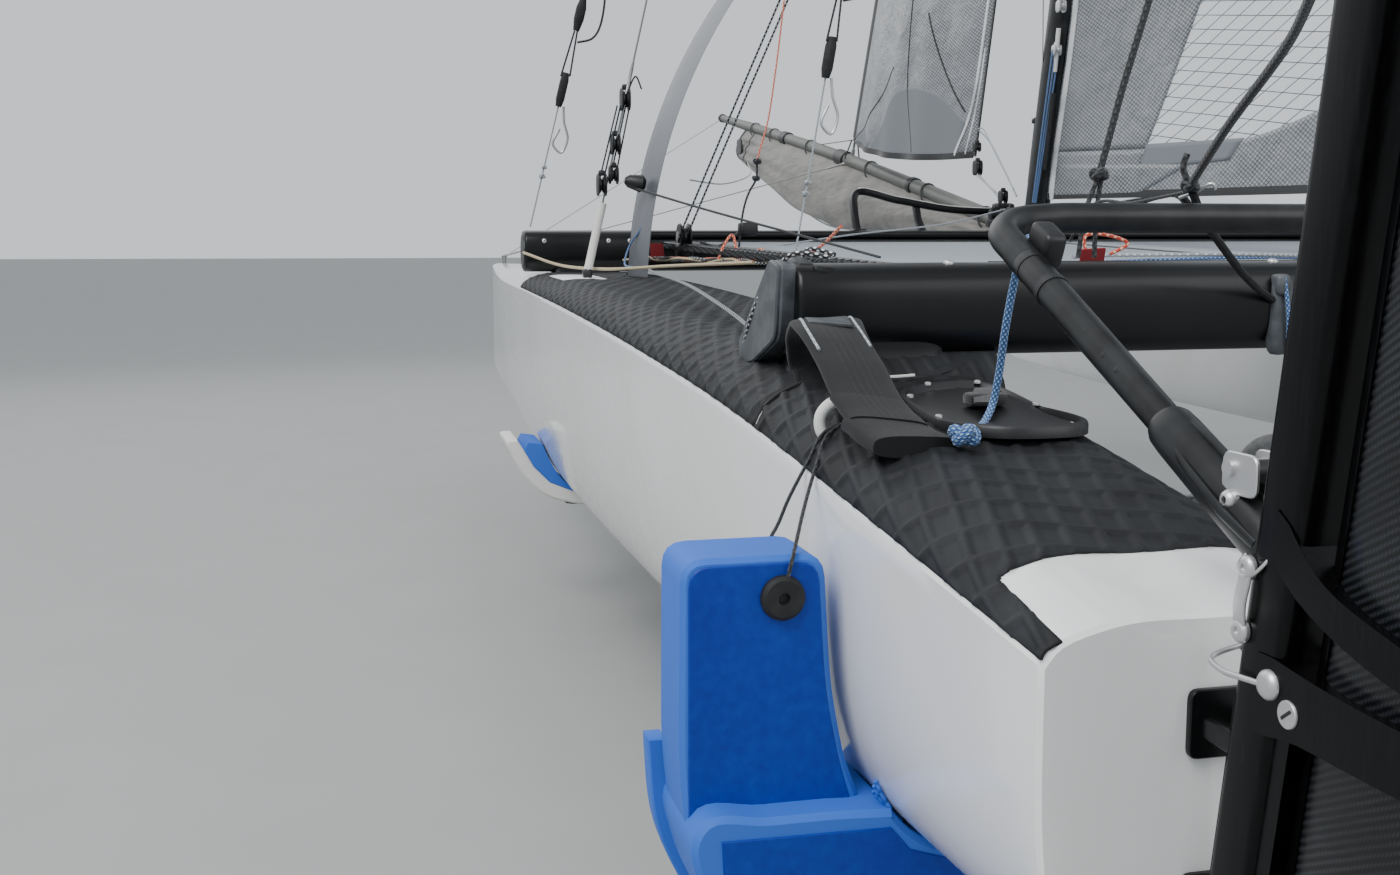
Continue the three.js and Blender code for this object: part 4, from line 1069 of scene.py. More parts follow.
def make_beams():
    """Both beams on their saddles, with end caps, bolts, sail tracks and the end brackets."""
    for beam, name in ((REAR_BEAM, "rear_beam"), (FRONT_BEAM, "front_beam")):
        whole = join(beam_shape(beam), saddle_shape(beam, 1), saddle_shape(beam, -1))
        piece(f"{name}_tube", whole, anodised_black, sharp=40, replaces=[name])
    top, x = REAR_BEAM["top"], REAR_BEAM["x"]
    track = [(x + 0.038, -1.2, top - 0.01), (x + 0.038, 1.2, top - 0.01)]
    front = [
        (FRONT_BEAM["x"] - 0.05, -1.2, FRONT_BEAM["top"] - 0.014),
        (FRONT_BEAM["x"] - 0.05, 1.2, FRONT_BEAM["top"] - 0.014)
    ]
    tracks = [sweep(curve(line, 12), oval(0.011, 0.011, 0.6, 16), UP) for line in (track, front)]
    piece("trampoline_tracks", tracks, anodised_black)
    heads = [(x - 0.018, y, top - 0.001) for y in (1.28, 0.83, 0.4, -0.2, -0.83, -1.28)]
    bolts = [rivet(p, (-0.15, 0, 1), 0.0065, 0.004, 0.002) for p in heads]
    bolts += [
        rivet((x - 0.05, y, top - 0.092), (-1, 0, -0.1), 0.0085, 0.006, 0.003)
        for y in (0.74, 0.61, -0.61, -0.74)
    ]
    bolts += [
        rivet(
            (FRONT_BEAM["x"] - 0.05, s * y, FRONT_BEAM["top"] - 0.03), (-1, 0, 0.2), 0.007, 0.005, 0.002
        )
        for s in (1, -1) for y in (1.5, 1.32, 1.26)
    ]
    piece("beam_bolts", bolts, stainless)
    bracket = rounded(
        [(0.73, 0.992), (0.768, 1.001), (0.916, 0.894), (0.914, 0.866), (0.852, 0.868), (0.742, 0.905)],
        (0.006, 0.012, 0.008, 0.01, 0.02, 0.02)
    )
    lip = rounded(
        [(0.726, 0.994), (0.768, 1.004), (0.921, 0.893), (0.917, 0.86), (0.85, 0.862), (0.737, 0.903)],
        (0.006, 0.012, 0.008, 0.01, 0.02, 0.02)
    )
    body = slab(bracket[::-1], (0, 1.475, 0), AHEAD, UP, 0.046, 0.003)
    face = slab(bracket[::-1] * (0.97, 1) + (0.0245, 0), (0, 1.4995, 0), AHEAD, UP, 0.006, 0.002)
    both("end_bracket", slab(lip[::-1], (0, 1.468, 0), AHEAD, UP, 0.024, 0.004), black_plastic)
    both("end_plate", [body, face], grey_plastic)
    cap = turned(
        (FRONT_BEAM["x"], 1.552, FRONT_BEAM["top"] - 0.058), PORT,
        [(-0.001, 0.05), (0.004, 0.048), (0.005, 0.03), (0.004, 0.001)], 30
    )
    both("front_cap", cap, black_plastic)
    loops = [
        [
            (0.722, 1.44, 1.002), (0.742, 1.476, 1.007), (0.792, 1.494, 0.975), (0.85, 1.503, 0.925),
            (0.893, 1.5, 0.888)
        ],
        [
            (0.735, 1.43, 1.005), (0.762, 1.452, 1.012), (0.815, 1.452, 0.976), (0.868, 1.45, 0.925),
            (0.905, 1.468, 0.888)
        ]
    ]
    both("end_lashing", [cord_shape(p, 0.0055, 50) for p in loops], flecked_rope)
    shackle = [
        (0.912, 1.46, 0.879), (0.926, 1.459, 0.884), (0.934, 1.468, 0.889), (0.926, 1.477, 0.893),
        (0.912, 1.478, 0.886)
    ]
    both("beam_shackle", cord_shape(shackle, 0.005, 40, 12), stainless)


TRAMPOLINE_HALF = 1.165
MESH_REAR = (0.815, 0.97)
MESH_RUN = (2.228, 0.064)
MESH_DIP = 0.012


def trampoline_points(rows, columns, half, lift=0.0):
    """The mesh between the beams: a straight slope from the rear beam to the front one, less a dip
    that is sine times sine, deepest in the middle."""
    u = np.linspace(0, 1, rows)[:, None]
    v = np.linspace(1, -1, columns)[None]
    x = MESH_REAR[0] + MESH_RUN[0] * u + 0 * v
    y = half * v + 0 * u
    dip = MESH_DIP * np.sin(np.pi * u) * np.cos(np.pi * v / 2)
    z = MESH_REAR[1] + MESH_RUN[1] * u - dip + lift
    return np.stack([x, y, z], -1)


def make_trampoline():
    """The laced mesh with its black hems, a centre seam, and the lacing along both hulls."""
    mesh = piece(
        "trampoline_mesh", skin(trampoline_points(60, 60, TRAMPOLINE_HALF)), trampoline_mesh,
        replaces=["trampoline"]
    )
    thicken(mesh, 0.002)
    grid = trampoline_points(60, 60, TRAMPOLINE_HALF, 0.0015)
    hems = [skin(grid[:, :3]), skin(grid[:, -3:]), skin(grid[:2]), skin(grid[-2:]), skin(grid[:, 29:31])]
    hem = piece("trampoline_hems", hems, webbing, slot="trampoline_mesh")
    thicken(hem, 0.0015)
    lacing = []
    for side in (1, -1):
        x = np.linspace(0.86, 2.98, 107)
        y = side * np.where(np.arange(107) % 2, 1.15, 1.205)
        z = np.interp(x, (0.8, 3.05), (0.975, 1.034)) - np.where(np.arange(107) % 2, 0.0, 0.012)
        path = np.stack([x, y, z], -1)
        lacing.append(sweep(path, oval(0.0018, 0.0018, 1, 6), UP))
    piece("trampoline_lacing", lacing, black_rope, slot="trampoline_mesh")


# Rudders and tillers.

RAKE = math.tan(math.radians(8))
RUDDER_FOOT_Z = 0.62
RUDDER_AXIS_X = -0.055
TILLER_ROOT = np.array((-0.07, HULL_MIDDLE, 0.804))
TILLER_PIVOT = np.array((0.325, HULL_MIDDLE, 0.997))
TILLER_RADIUS = 0.015
CROSSBAR_X = 0.425
CROSSBAR_Z = 1.042
CROSSBAR_BEND = [
    (0.385, 1.377, 1.025), (0.411, 1.355, 1.036), (0.423, 1.312, 1.041), (CROSSBAR_X, 1.25, CROSSBAR_Z)
]

# The casing's edges before the rake, from its front to its rear end, as (x, z).
CASING_TOP = [(-0.06, 0.842), (-0.0976, 0.809), (-0.186, 0.78), (-0.3, 0.762)]
CASING_WINDOW_TOP = [(-0.06, 0.812), (-0.084, 0.7945), (-0.115, 0.78), (-0.16, 0.766), (-0.284, 0.75)]
CASING_WINDOW_LOW = [(-0.06, 0.7435), (-0.125, 0.736), (-0.197, 0.732), (-0.284, 0.732)]
CASING_LOW = [(-0.06, 0.69), (-0.102, 0.6975), (-0.145, 0.698), (-0.2045, 0.698), (-0.3, 0.7)]


def raked(points):
    """Rudder points (x, z) moved aft with height, as the rudder leans."""
    points = np.asarray(points, float)
    return points - np.stack([(points[..., 1] - RUDDER_FOOT_Z) * RAKE, 0 * points[..., 1]], -1)


def rudder_plate(outline, thick, edge=0.002, y=HULL_MIDDLE):
    """A plate in the rudder's plane: its outline in (x, z), clockwise from port, thick across."""
    return slab(raked(outline), (0, y, 0), AHEAD, UP, thick, edge)


def casing_shape():
    """One closed outline: back along the top, round the rear end, forward along the bottom, then
    back and forward again along the window."""
    top, low = curve(CASING_TOP, 20), curve(CASING_LOW, 20)
    inner_top, inner_low = curve(CASING_WINDOW_TOP, 20), curve(CASING_WINDOW_LOW, 16)
    rear = [(-0.307, 0.752), (-0.308, 0.731), (-0.307, 0.71)]
    inner_rear = [(-0.287, 0.747), (-0.2875, 0.741), (-0.287, 0.735)]
    outline = np.concatenate([top, rear, low[::-1], inner_low, inner_rear[::-1], inner_top[::-1]])
    return rudder_plate(outline[::-1], 0.046, 0.003)


def foil_half(c, thick):
    """Half the thickness of a four-digit wing section, at a share c of its chord from its front."""
    return 5 * thick * (0.2969 * np.sqrt(c) - 0.126 * c - 0.3516 * c**2 + 0.2843 * c**3 - 0.1015 * c**4)


def blade_shape():
    """A foil section lofted down the blade: half thickness is the foil formula of a four-digit wing
    section, 22 mm thick on a 200 mm chord, narrowed and rounded towards the foot."""
    c = (1 - np.cos(np.linspace(0, np.pi, 24))) / 2
    half = foil_half(c, 0.11)
    outline = np.concatenate([np.stack([c, half], -1), np.stack([c, -half], -1)[-2:0:-1]])
    z = np.concatenate([np.linspace(0.425, 0.5, 8), np.linspace(0.55, 1.49, 20), [1.51, 1.52]])
    foot = smooth_step(0.4, 0.55, z)
    top = 1 - 0.25 * smooth_step(1.49, 1.53, z)
    chord = 0.2 * (0.72 + 0.28 * foot) * top
    front = RUDDER_AXIS_X - 0.039 - 0.02 * (1 - foot)
    x = front[:, None] - outline[None, :, 0] * chord[:, None] - ((z - RUDDER_FOOT_Z) * RAKE)[:, None]
    y = HULL_MIDDLE + outline[None, :, 1] * 0.2 * top[:, None]
    points = np.stack([x, y, np.broadcast_to(z[:, None], x.shape)], -1)
    return skin(points, around=True, ends=True)


def edge_strip():
    """The dark painted leading edge: a thin cap bent round the front of the blade."""
    z = np.linspace(0.45, 1.5, 40)
    a = np.linspace(-0.9, 0.9, 9) * np.pi / 2
    x = RUDDER_AXIS_X - 0.038 - 0.018 * (1 - np.cos(a)[None]) - ((z - RUDDER_FOOT_Z) * RAKE)[:, None]
    x = x - 0.02 * (1 - smooth_step(0.4, 0.55, z))[:, None]
    y = HULL_MIDDLE + 0.0092 * np.sin(a)[None] + 0 * x
    outer = np.stack([x, y, z[:, None] + 0 * x], -1)
    return skin(outer[:, ::-1])


def rivet(place, axis, radius=0.008, tall=0.004, recess=0.0028):
    """A round rivet head: a low dome with a sunk hole in its middle."""
    rows = [
        (-0.002, radius), (0, radius), (0.45 * tall, 0.96 * radius), (0.85 * tall, 0.75 * radius),
        (tall, 0.5 * radius), (0.95 * tall, recess), (0.2 * tall, 0.9 * recess),
        (0.15 * tall, 0.1 * recess)
    ]
    return turned(place, axis, rows, 28)


def along_arm(distance):
    """A point of the tiller arm at that distance from its root."""
    return TILLER_ROOT + unit(TILLER_PIVOT - TILLER_ROOT) * distance


def gudgeons_shape():
    """Two brackets on the transom, each with a plate, two arms and a ring round the rudder's axis."""
    parts = []
    for z in (0.53, 0.67):
        x = RUDDER_AXIS_X - (z - RUDDER_FOOT_Z) * RAKE
        ring = [(0, 0.009), (0, 0.022), (0.016, 0.022), (0.016, 0.009)]
        parts.append(turned((x, HULL_MIDDLE, z - 0.008), (-RAKE, 0, 1), ring, 24))
        plate = rounded([(-0.026, -0.026), (0.026, -0.026), (0.026, 0.026), (-0.026, 0.026)], 0.008)
        parts.append(slab(plate, (-0.003, HULL_MIDDLE, z), (0, -1, 0), UP, 0.006, 0.001))
        parts += [
            block((x / 2 - 0.004, HULL_MIDDLE + y, z), (0.026, 0.003, 0.008), 0.3)
            for y in (-0.017, 0.017)
        ]
    return join(*parts)


def make_rudders():
    """Spine, casing, blade and fittings of each rudder; what swings rides on the rudder's body."""
    both("gudgeons", gudgeons_shape(), anodised_black, sharp=40, replaces=["transom_fitting"])
    z = np.linspace(0.478, 1.3, 24)
    spine = np.stack([RUDDER_AXIS_X - 0.003 - (z - RUDDER_FOOT_Z) * RAKE, 0 * z + HULL_MIDDLE, z], -1)
    both(
        "spine", sweep(spine, oval(0.022, 0.023, 0.3, 28), AHEAD), smooth_carbon, body="rudder",
        replaces=["rudder_stock"]
    )
    both("casing", casing_shape(), smooth_carbon, body="rudder", sharp=40)
    lower = [(-0.035, 0.708), (-0.035, 0.43), (-0.078, 0.43), (-0.092, 0.5), (-0.092, 0.708)]
    both("lower_cheek", rudder_plate(rounded(lower, 0.006), 0.034, 0.003), smooth_carbon, body="rudder")
    both("blade", blade_shape(), twill_carbon, body="blade", sharp=50, replaces=["rudder_blade"])
    both("blade_edge", edge_strip(), smooth_carbon, body="blade", sharp=50)
    face = HULL_MIDDLE + 0.0225
    strap = curve(
        [
            (-0.0625, face + 0.002, 0.806), (-0.0615, face + 0.0035, 0.79),
            (-0.059, face + 0.0045, 0.775), (-0.058, face + 0.002, 0.748)
        ],
        16
    )
    holes = [
        rivet((-0.0619, face + 0.002, 0.799), PORT, 0.0085),
        rivet((-0.0575, face + 0.002, 0.7544), PORT, 0.0085)
    ]
    fittings = [sweep(strap, oval(0.0016, 0.0062, 0.5, 12), (1, 0, 0.1)), *holes]
    loop = [
        (-0.052, face - 0.004, 0.806), (-0.05, face + 0.001, 0.798), (-0.062, face + 0.002, 0.793),
        (-0.076, face + 0.001, 0.802), (-0.081, face - 0.006, 0.815)
    ]
    fittings.append(cord_shape(loop, 0.0025, 40))
    bail = [
        (-0.0245, HULL_MIDDLE - 0.02, 0.735), (-0.0235, HULL_MIDDLE + 0.005, 0.732),
        (-0.028, face + 0.004, 0.7265), (-0.044, face + 0.0065, 0.7235), (-0.066, face + 0.006, 0.7245),
        (-0.088, face + 0.003, 0.7258)
    ]
    fittings.append(cord_shape(bail, 0.0042, 60, 12))
    fittings.append(rivet((-0.0896, face, 0.726), PORT, 0.0105, 0.006, 0.0001))
    fittings.append(rivet((-0.024, HULL_MIDDLE - 0.006, 0.7325), PORT, 0.0058, 0.006, 0.0026))
    screw = np.array((-0.1107, HULL_MIDDLE + 0.023, 0.7125))
    fittings.append(turned(
        screw, PORT, [(-0.001, 0.0095), (0.0012, 0.0095), (0.0018, 0.009), (0.002, 0.0002)]
    ))
    both("rudder_fittings", fittings, stainless, body="rudder", sharp=40)
    slot_mark = slab(
        rounded([(-0.006, -0.0012), (0.006, -0.0012), (0.006, 0.0012), (-0.006, 0.0012)], 0.0008),
        screw + (0, 0.0021, 0), (1, 0, -0.8), (0.8, 0, 1), 0.0006, 0.0002
    )
    both("screw_slot", slot_mark, black_plastic, body="rudder", slot="carbon")


def make_tillers():
    """Each tiller arm with its socket, collar and buttons, and the crossbar with its bent ends."""
    long = np.linalg.norm(TILLER_PIVOT - TILLER_ROOT)
    way = unit(TILLER_PIVOT - TILLER_ROOT)
    end = np.array([
        (TILLER_RADIUS * math.cos(a), TILLER_RADIUS * math.sin(a)) for a in np.linspace(1.5, 0.08, 8)
    ])
    tail = [(long + s, r) for r, s in end[::-1]]
    rows = [(0.0, 0.0125), (0.004, 0.0128), (long - 0.05, TILLER_RADIUS), *tail]
    both("tiller_tube", turned(TILLER_ROOT, way, rows, 40), satin_tube, body="rudder", sharp=60)
    rows = [
        (0.004, 0.0152), (0.006, 0.019), (0.012, 0.02), (0.09, 0.02), (0.15, 0.0194), (0.163, 0.0186),
        (0.168, 0.0168), (0.1685, 0.0151)
    ]
    rib = sweep(
        [
            along_arm(d) + (0, 0.0, h)
            for d, h in ((0.02, 0.018), (0.06, 0.0215), (0.1, 0.021), (0.135, 0.0165))
        ],
        oval(0.0022, 0.0055, 0.8, 12), UP
    )
    side_rib = sweep(
        [
            along_arm(d) + (0, w, 0.004)
            for d, w in ((0.012, 0.018), (0.05, 0.0215), (0.1, 0.0195), (0.125, 0.0168))
        ],
        oval(0.0022, 0.0042, 0.8, 12), UP
    )
    both(
        "tiller_socket", [turned(TILLER_ROOT, way, rows, 36, ends=False), rib, side_rib], satin_tube,
        body="rudder", sharp=45
    )
    seams = [
        turned(along_arm(d), way, [(-w, 0.01295), (-w, r), (w, r), (w, 0.01295)], 36, ends=False)
        for d, w, r in ((long - 0.052, 0.004, 0.0158), (long - 0.009, 0.0015, 0.0155))
    ]
    both("tiller_collars", seams, black_plastic, body="rudder", slot="carbon", sharp=40)
    up = unit(np.cross(np.cross(way, UP), way))
    buttons = [
        turned(
            along_arm(d) + up * 0.0125 * math.cos(t) + np.array((0, 0.0125 * math.sin(t), 0)),
            up * math.cos(t) + np.array((0, math.sin(t), 0)),
            [(-0.002, 0.0036), (0.001, 0.0036), (0.002, 0.0024), (0.0022, 0.0002)], 16
        )
        for d, t in ((0.238, 1.0), (0.262, 1.0), (long - 0.03, 1.2), (0.3, 0.9))
    ]
    both("spring_buttons", buttons, satin_tube, body="rudder")
    bright = [turned(
        along_arm(0.128) + (0.0, 0.0, 0.0162), (0, 0.15, 1),
        [(-0.002, 0.0058), (0.002, 0.0058), (0.0035, 0.004), (0.0036, 0.0002)], 20
    )]
    for y in (-0.0125, 0.0125):
        cheek = rounded([(-0.052, 0.842), (-0.052, 0.872), (-0.012, 0.872), (-0.012, 0.842)], 0.009)
        bright.append(slab(cheek[::-1], (0, HULL_MIDDLE + y, 0), AHEAD, UP, 0.003, 0.0008))
    bright.append(turned((-0.022, HULL_MIDDLE - 0.017, 0.86), PORT, [(0, 0.006), (0.034, 0.006)], 16))
    bright.append(rivet((-0.024, HULL_MIDDLE + 0.014, 0.838), PORT, 0.0075, 0.006))
    both("tiller_fork", bright, stainless, body="rudder", sharp=40)
    roller = turned((-0.032, HULL_MIDDLE - 0.011, 0.858), PORT, [(0, 0.009), (0.022, 0.009)], 20)
    grip = block(TILLER_ROOT + (0.004, 0, 0.006), (0.018, 0.017, 0.019), 0.45)
    both("tiller_root", [roller, grip], black_plastic, body="rudder", slot="carbon", sharp=40)
    joint = block(TILLER_PIVOT + (0.004, -0.019, 0.018), (0.02, 0.011, 0.017), 0.35, way, PORT, 24)
    both("joint_block", joint, black_plastic, body="rudder", slot="carbon", sharp=40)
    bend = curve([TILLER_PIVOT + way * 0.002, TILLER_PIVOT + way * 0.03, *CROSSBAR_BEND], 40)
    middle = np.stack(
        [np.full(30, CROSSBAR_X), np.linspace(1.22, -1.22, 30), np.full(30, CROSSBAR_Z)], -1
    )
    line = np.concatenate([bend, middle, bend[::-1] * (1, -1, 1)])
    piece(
        "crossbar_tube", sweep(line, oval(TILLER_RADIUS, TILLER_RADIUS, 1, 28), (0.45, 0, 1)), satin_tube,
        body="crossbar", sharp=60, replaces=["tiller_crossbar"]
    )
    grips = [
        turned(
            (CROSSBAR_X, y, CROSSBAR_Z), PORT, [(-w, 0.0151), (-w, 0.0166), (w, 0.0166), (w, 0.0151)], 28,
            ends=False
        )
        for y, w in ((0.0, 0.022), (0.62, 0.009), (-0.62, 0.009))
    ]
    piece("crossbar_collars", grips, black_plastic, body="crossbar", slot="carbon")


# Daggerboards, mast, sails, spinnaker pole and jib track.

BOARD = {"x": 2.62, "y": 0.033, "z": 0.892, "radius": 1.284, "chord": 0.24, "low": -22.0, "high": 43.0}
MAST_FOOT = np.array((3.096, 0.0, 1.1))
MAST_LENGTH = 8.95
MAST_LEAN = math.radians(12)
MAST_UP = np.array((-math.sin(MAST_LEAN), 0.0, math.cos(MAST_LEAN)))
MAST_AFT = np.array((-math.cos(MAST_LEAN), 0.0, -math.sin(MAST_LEAN)))
HOUNDS = 6.65
MAIN = {"low": 0.07, "high": 8.75, "head": 0.95, "roach": 0.3, "swell": 0.85, "camber": 0.045}
MAIN_CLEW = np.array((1.01, 0.0, 1.112))
JIB = {"luff": 6.15, "head": 0.055, "camber": 0.07, "drop": 0.028}
JIB_CLEW = np.array((3.545, 0.0, 1.316))
FORESTAY_FOOT = np.array((4.8, 0.0, 1.395))
POLE_PATH = [(3.158, 0.0, 1.062), (4.885, 0.0, 1.392), (7.036, 0.0, 1.752)]
POLE_RADIUS = 0.027

# The sock: distance forward, half width and lowest height. The track: one half, as points.
SOCK = [
    (3.24, 0.034, 1.022), (3.7, 0.06, 1.056), (4.3, 0.084, 1.086), (5.0, 0.104, 1.112),
    (5.45, 0.112, 1.196), (5.95, 0.104, 1.33), (6.44, 0.088, 1.47)
]
TRACK_HALF = [
    (3.12, 0.56, 1.05), (3.15, 0.562, 1.12), (3.196, 0.545, 1.176), (3.214, 0.4, 1.158),
    (3.222, 0.23, 1.132)
]


def foil(thick, chord, count=24):
    """A wing section's outline, thickness first, its leading edge at plus half the chord. The half
    thickness follows the four-digit formula, on distances spaced as a cosine."""
    c = (1 - np.cos(np.linspace(0, np.pi, count))) / 2
    half = foil_half(c, thick)
    face = np.stack([half, chord * (0.5 - c)], -1)
    return np.concatenate([face, (face * (-1, 1))[-2:0:-1]])[::-1]


def board_path(low, high, count):
    """Points on the arc through the middle of the board, between two angles in degrees."""
    a = np.radians(np.linspace(low, high, count))
    y = BOARD["y"] + BOARD["radius"] * np.cos(a)
    return np.stack([np.full(count, BOARD["x"]), y, BOARD["z"] + BOARD["radius"] * np.sin(a)], -1)


def make_boards():
    """Curved daggerboards with a dark leading edge and a loop to lift them by, and the trunks' lips."""
    path = board_path(BOARD["low"], BOARD["high"], 110)
    section = foil(0.024, BOARD["chord"])
    run = np.linspace(0, BOARD["radius"] * math.radians(BOARD["high"] - BOARD["low"]), len(path))
    left = np.clip(np.minimum(run + 0.004, run[-1] + 0.004 - run) / 0.05, 0, 1)
    sizes = np.stack([left**0.3, 0.8 + 0.2 * np.sqrt(1 - (1 - left) ** 2)], -1)
    front = section[section[:, 1] > 0.085] * (1.05, 1.0) + (0, 0.0008)
    lip = [on_deck(x, y, 0.004) for y, x in foil(0.044, 0.262, 30) + (1.3166 - HULL_MIDDLE, BOARD["x"])]
    both("board", sweep(path, section, AHEAD, sizes), grey_board, body="board", replaces=["daggerboard"])
    both("board_edge", sweep(path[3:-3], front, AHEAD), smooth_carbon, body="board", slot="grey_board")
    both(
        "trunk_lip", sweep(lip, oval(0.004, 0.003, 0.7, 10), UP, loop=True), black_rubber, slot="gelcoat"
    )
    top = path[-4]
    loop = [
        top + (0.02, 0.01, 0.004), top + (0.02, 0.03, 0.035), top + (-0.02, 0.04, 0.05),
        top + (-0.05, 0.03, 0.03), top + (-0.05, 0.008, 0.004)
    ]
    both("board_loop", cord_shape(loop, 0.006), black_rope, body="board", slot="grey_board")


def on_mast(up, aft=0.0, side=0.0):
    """A place by the mast: the distance up it from its foot, aft of its middle, and to the side."""
    up, aft, side = np.broadcast_arrays(np.asarray(up, float), aft, side)
    return MAST_FOOT + up[..., None] * MAST_UP + aft[..., None] * MAST_AFT + side[..., None] * PORT


def mast_section():
    """A pear: an oval, fullest ahead of its middle, with a 6 mm groove in its aft face."""
    a = np.linspace(0.06, 2 * np.pi - 0.06, 44)
    aft = 0.052 * np.cos(a)
    side = 0.032 * np.sin(a) * (1 - 0.12 * np.cos(a))
    groove = np.array([
        (0.0515, -0.003), (0.047, -0.003), (0.044, -0.006), (0.038, -0.006), (0.038, 0.006),
        (0.044, 0.006), (0.047, 0.003), (0.0515, 0.003)
    ])
    outline = np.concatenate([np.stack([aft, side], -1), groove])
    return outline[::-1, ::-1]


def strop(first, second, thick=0.004, sides=8):
    """A straight taut line or rod between two points."""
    return sweep(np.array([first, second], float), oval(thick / 2, thick / 2, 1.0, sides))


def small_block(place, size=0.045):
    """A pulley block: two cheeks, a sheave between them and an eye above."""
    place = np.asarray(place, float)
    half = size / 2
    cheeks = [block(place + np.array((0, o, 0)), (half * 0.8, 0.003, half), 0.6) for o in (-0.009, 0.009)]
    sheave = turned(
        place - np.array((0, 0.006, 0)), PORT,
        [
            (0, half * 0.7), (0.003, half * 0.7), (0.006, half * 0.45), (0.009, half * 0.7),
            (0.012, half * 0.7)
        ],
        18
    )
    eye = block(place + np.array((0, 0, half * 1.05)), (0.005, 0.008, 0.007), 0.6)
    return join(*cheeks, sheave, eye)


def make_mast():
    """The mast with its heel, head, spreaders and diamond wires, its step, and the small fittings by
    its foot: downhaul, cleat arm and turning blocks."""
    ups = np.linspace(0.0, MAST_LENGTH, 70)
    tube = sweep(on_mast(ups), mast_section(), MAST_AFT)
    piece("mast_tube", tube, satin_tube, body="mast", sharp=50, replaces=["mast"])
    heel = sweep(on_mast(np.array([-0.004, 0.0, 0.03, 0.036])), oval(0.036, 0.056, 1.0, 36), MAST_AFT)
    ball = turned(
        on_mast(-0.008), MAST_UP, [(0, 0.008), (0.004, 0.014), (0.012, 0.018), (0.02, 0.018)], 20
    )
    head = sweep(
        on_mast(np.array([MAST_LENGTH - 0.05, MAST_LENGTH, MAST_LENGTH + 0.006])),
        oval(0.035, 0.055, 0.9, 30), MAST_AFT
    )
    piece("mast_castings", [heel, ball, head], anodised_black, body="mast")
    arms, diamonds = [], []
    for side in (1, -1):
        arm = on_mast(
            np.array([3.6, 3.58, 3.56]), np.array([-0.01, -0.025, -0.04]),
            side * np.array([0.02, 0.22, 0.42])
        )
        arms.append(sweep(arm, oval(0.006, 0.016, 0.8, 16), MAST_AFT, np.array([1.2, 1.0, 0.7])))
        tip = on_mast(3.56, -0.04, side * 0.415)
        diamonds += [
            strop(on_mast(0.45, -0.02, side * 0.03), tip, 0.003, 6),
            strop(tip, on_mast(HOUNDS, -0.02, side * 0.03), 0.003, 6)
        ]
    piece("spreaders", arms, satin_tube, body="mast")
    piece("diamond_wires", diamonds, wire, body="mast")
    step = [
        block((MAST_FOOT[0], 0, 1.074), (0.052, 0.045, 0.02), 0.3),
        block((MAST_FOOT[0], 0, 1.088), (0.03, 0.03, 0.008), 0.5)
    ]
    lugs = [block((MAST_FOOT[0], y, 1.082), (0.03, 0.006, 0.014), 0.4) for y in (-0.036, 0.036)]
    piece("mast_step_casting", [*step, *lugs], anodised_black, replaces=["mast_step"])
    arm = [
        sweep(
            [on_mast(0.285, -0.04, 0.0), on_mast(0.285, -0.075, 0.006)], oval(0.006, 0.01, 0.4, 12), UP
        ),
        strop(on_mast(0.285, -0.073, 0.006), on_mast(0.1, -0.07, 0.006), 0.006, 10),
        block(on_mast(0.285, -0.07, 0.006), (0.012, 0.01, 0.008), 0.4)
    ]
    piece("cleat_arm", arm, anodised_black, body="mast")
    cluster = [
        small_block((3.11, y, z), s)
        for y, z, s in ((0.075, 1.118, 0.04), (0.105, 1.105, 0.042), (0.135, 1.112, 0.034))
    ]
    cluster.append(block((3.105, 0.105, 1.088), (0.03, 0.05, 0.012), 0.4))
    piece("foot_blocks", cluster, black_plastic)
    lines = [
        strop(on_mast(0.5, 0.062, 0.036 + o), on_mast(0.06, 0.052, 0.04 + 0.5 * o), 0.005)
        for o in (-0.01, 0.0, 0.01)
    ]
    piece("downhaul_lines", lines, blue_rope, body="mast", slot="carbon")
    sleeve = strop(on_mast(0.56, 0.064, 0.036), on_mast(0.44, 0.06, 0.03), 0.013, 12)
    piece("downhaul_sleeve", sleeve, white_plastic, body="mast", slot="carbon")
    blocks = [
        small_block(on_mast(0.62, 0.066, 0.038), 0.034), small_block(on_mast(0.5, 0.063, 0.034), 0.03)
    ]
    piece("downhaul_blocks", blocks, stainless, body="mast")
    strip = sweep(on_mast(np.linspace(0.16, 0.38, 8), 0.066, 0.028), oval(0.004, 0.013, 0.4, 12), MAST_AFT)
    piece("downhaul_pad", strip, black_rubber, body="mast", slot="carbon")


def main_point(u, v, lift=0.0):
    """The mainsail's surface: u is 0 at the luff and 1 at the leech, v goes from 0 at the foot to 1
    at the head. The chord shrinks in a line, plus the roach; the belly is a parabola to starboard."""
    tack = on_mast(MAIN["low"], 0.0528)
    foot = MAIN_CLEW - tack
    length = np.linalg.norm(foot)
    luff = on_mast(MAIN["low"] + v * (MAIN["high"] - MAIN["low"]), 0.0528)
    roach = MAIN["roach"] * np.sin(np.pi * v ** MAIN["swell"])
    chord = length + (MAIN["head"] - length) * v + roach
    belly = -4 * MAIN["camber"] * u * (1 - u) * chord
    belly = belly + 0.006 * np.sin(95 * v + 6 * u) * np.exp(-((u - 0.1) / 0.12) ** 2) * np.exp(-v / 0.1)
    return luff + (u * chord)[..., None] * foot / length + (belly + lift)[..., None] * PORT


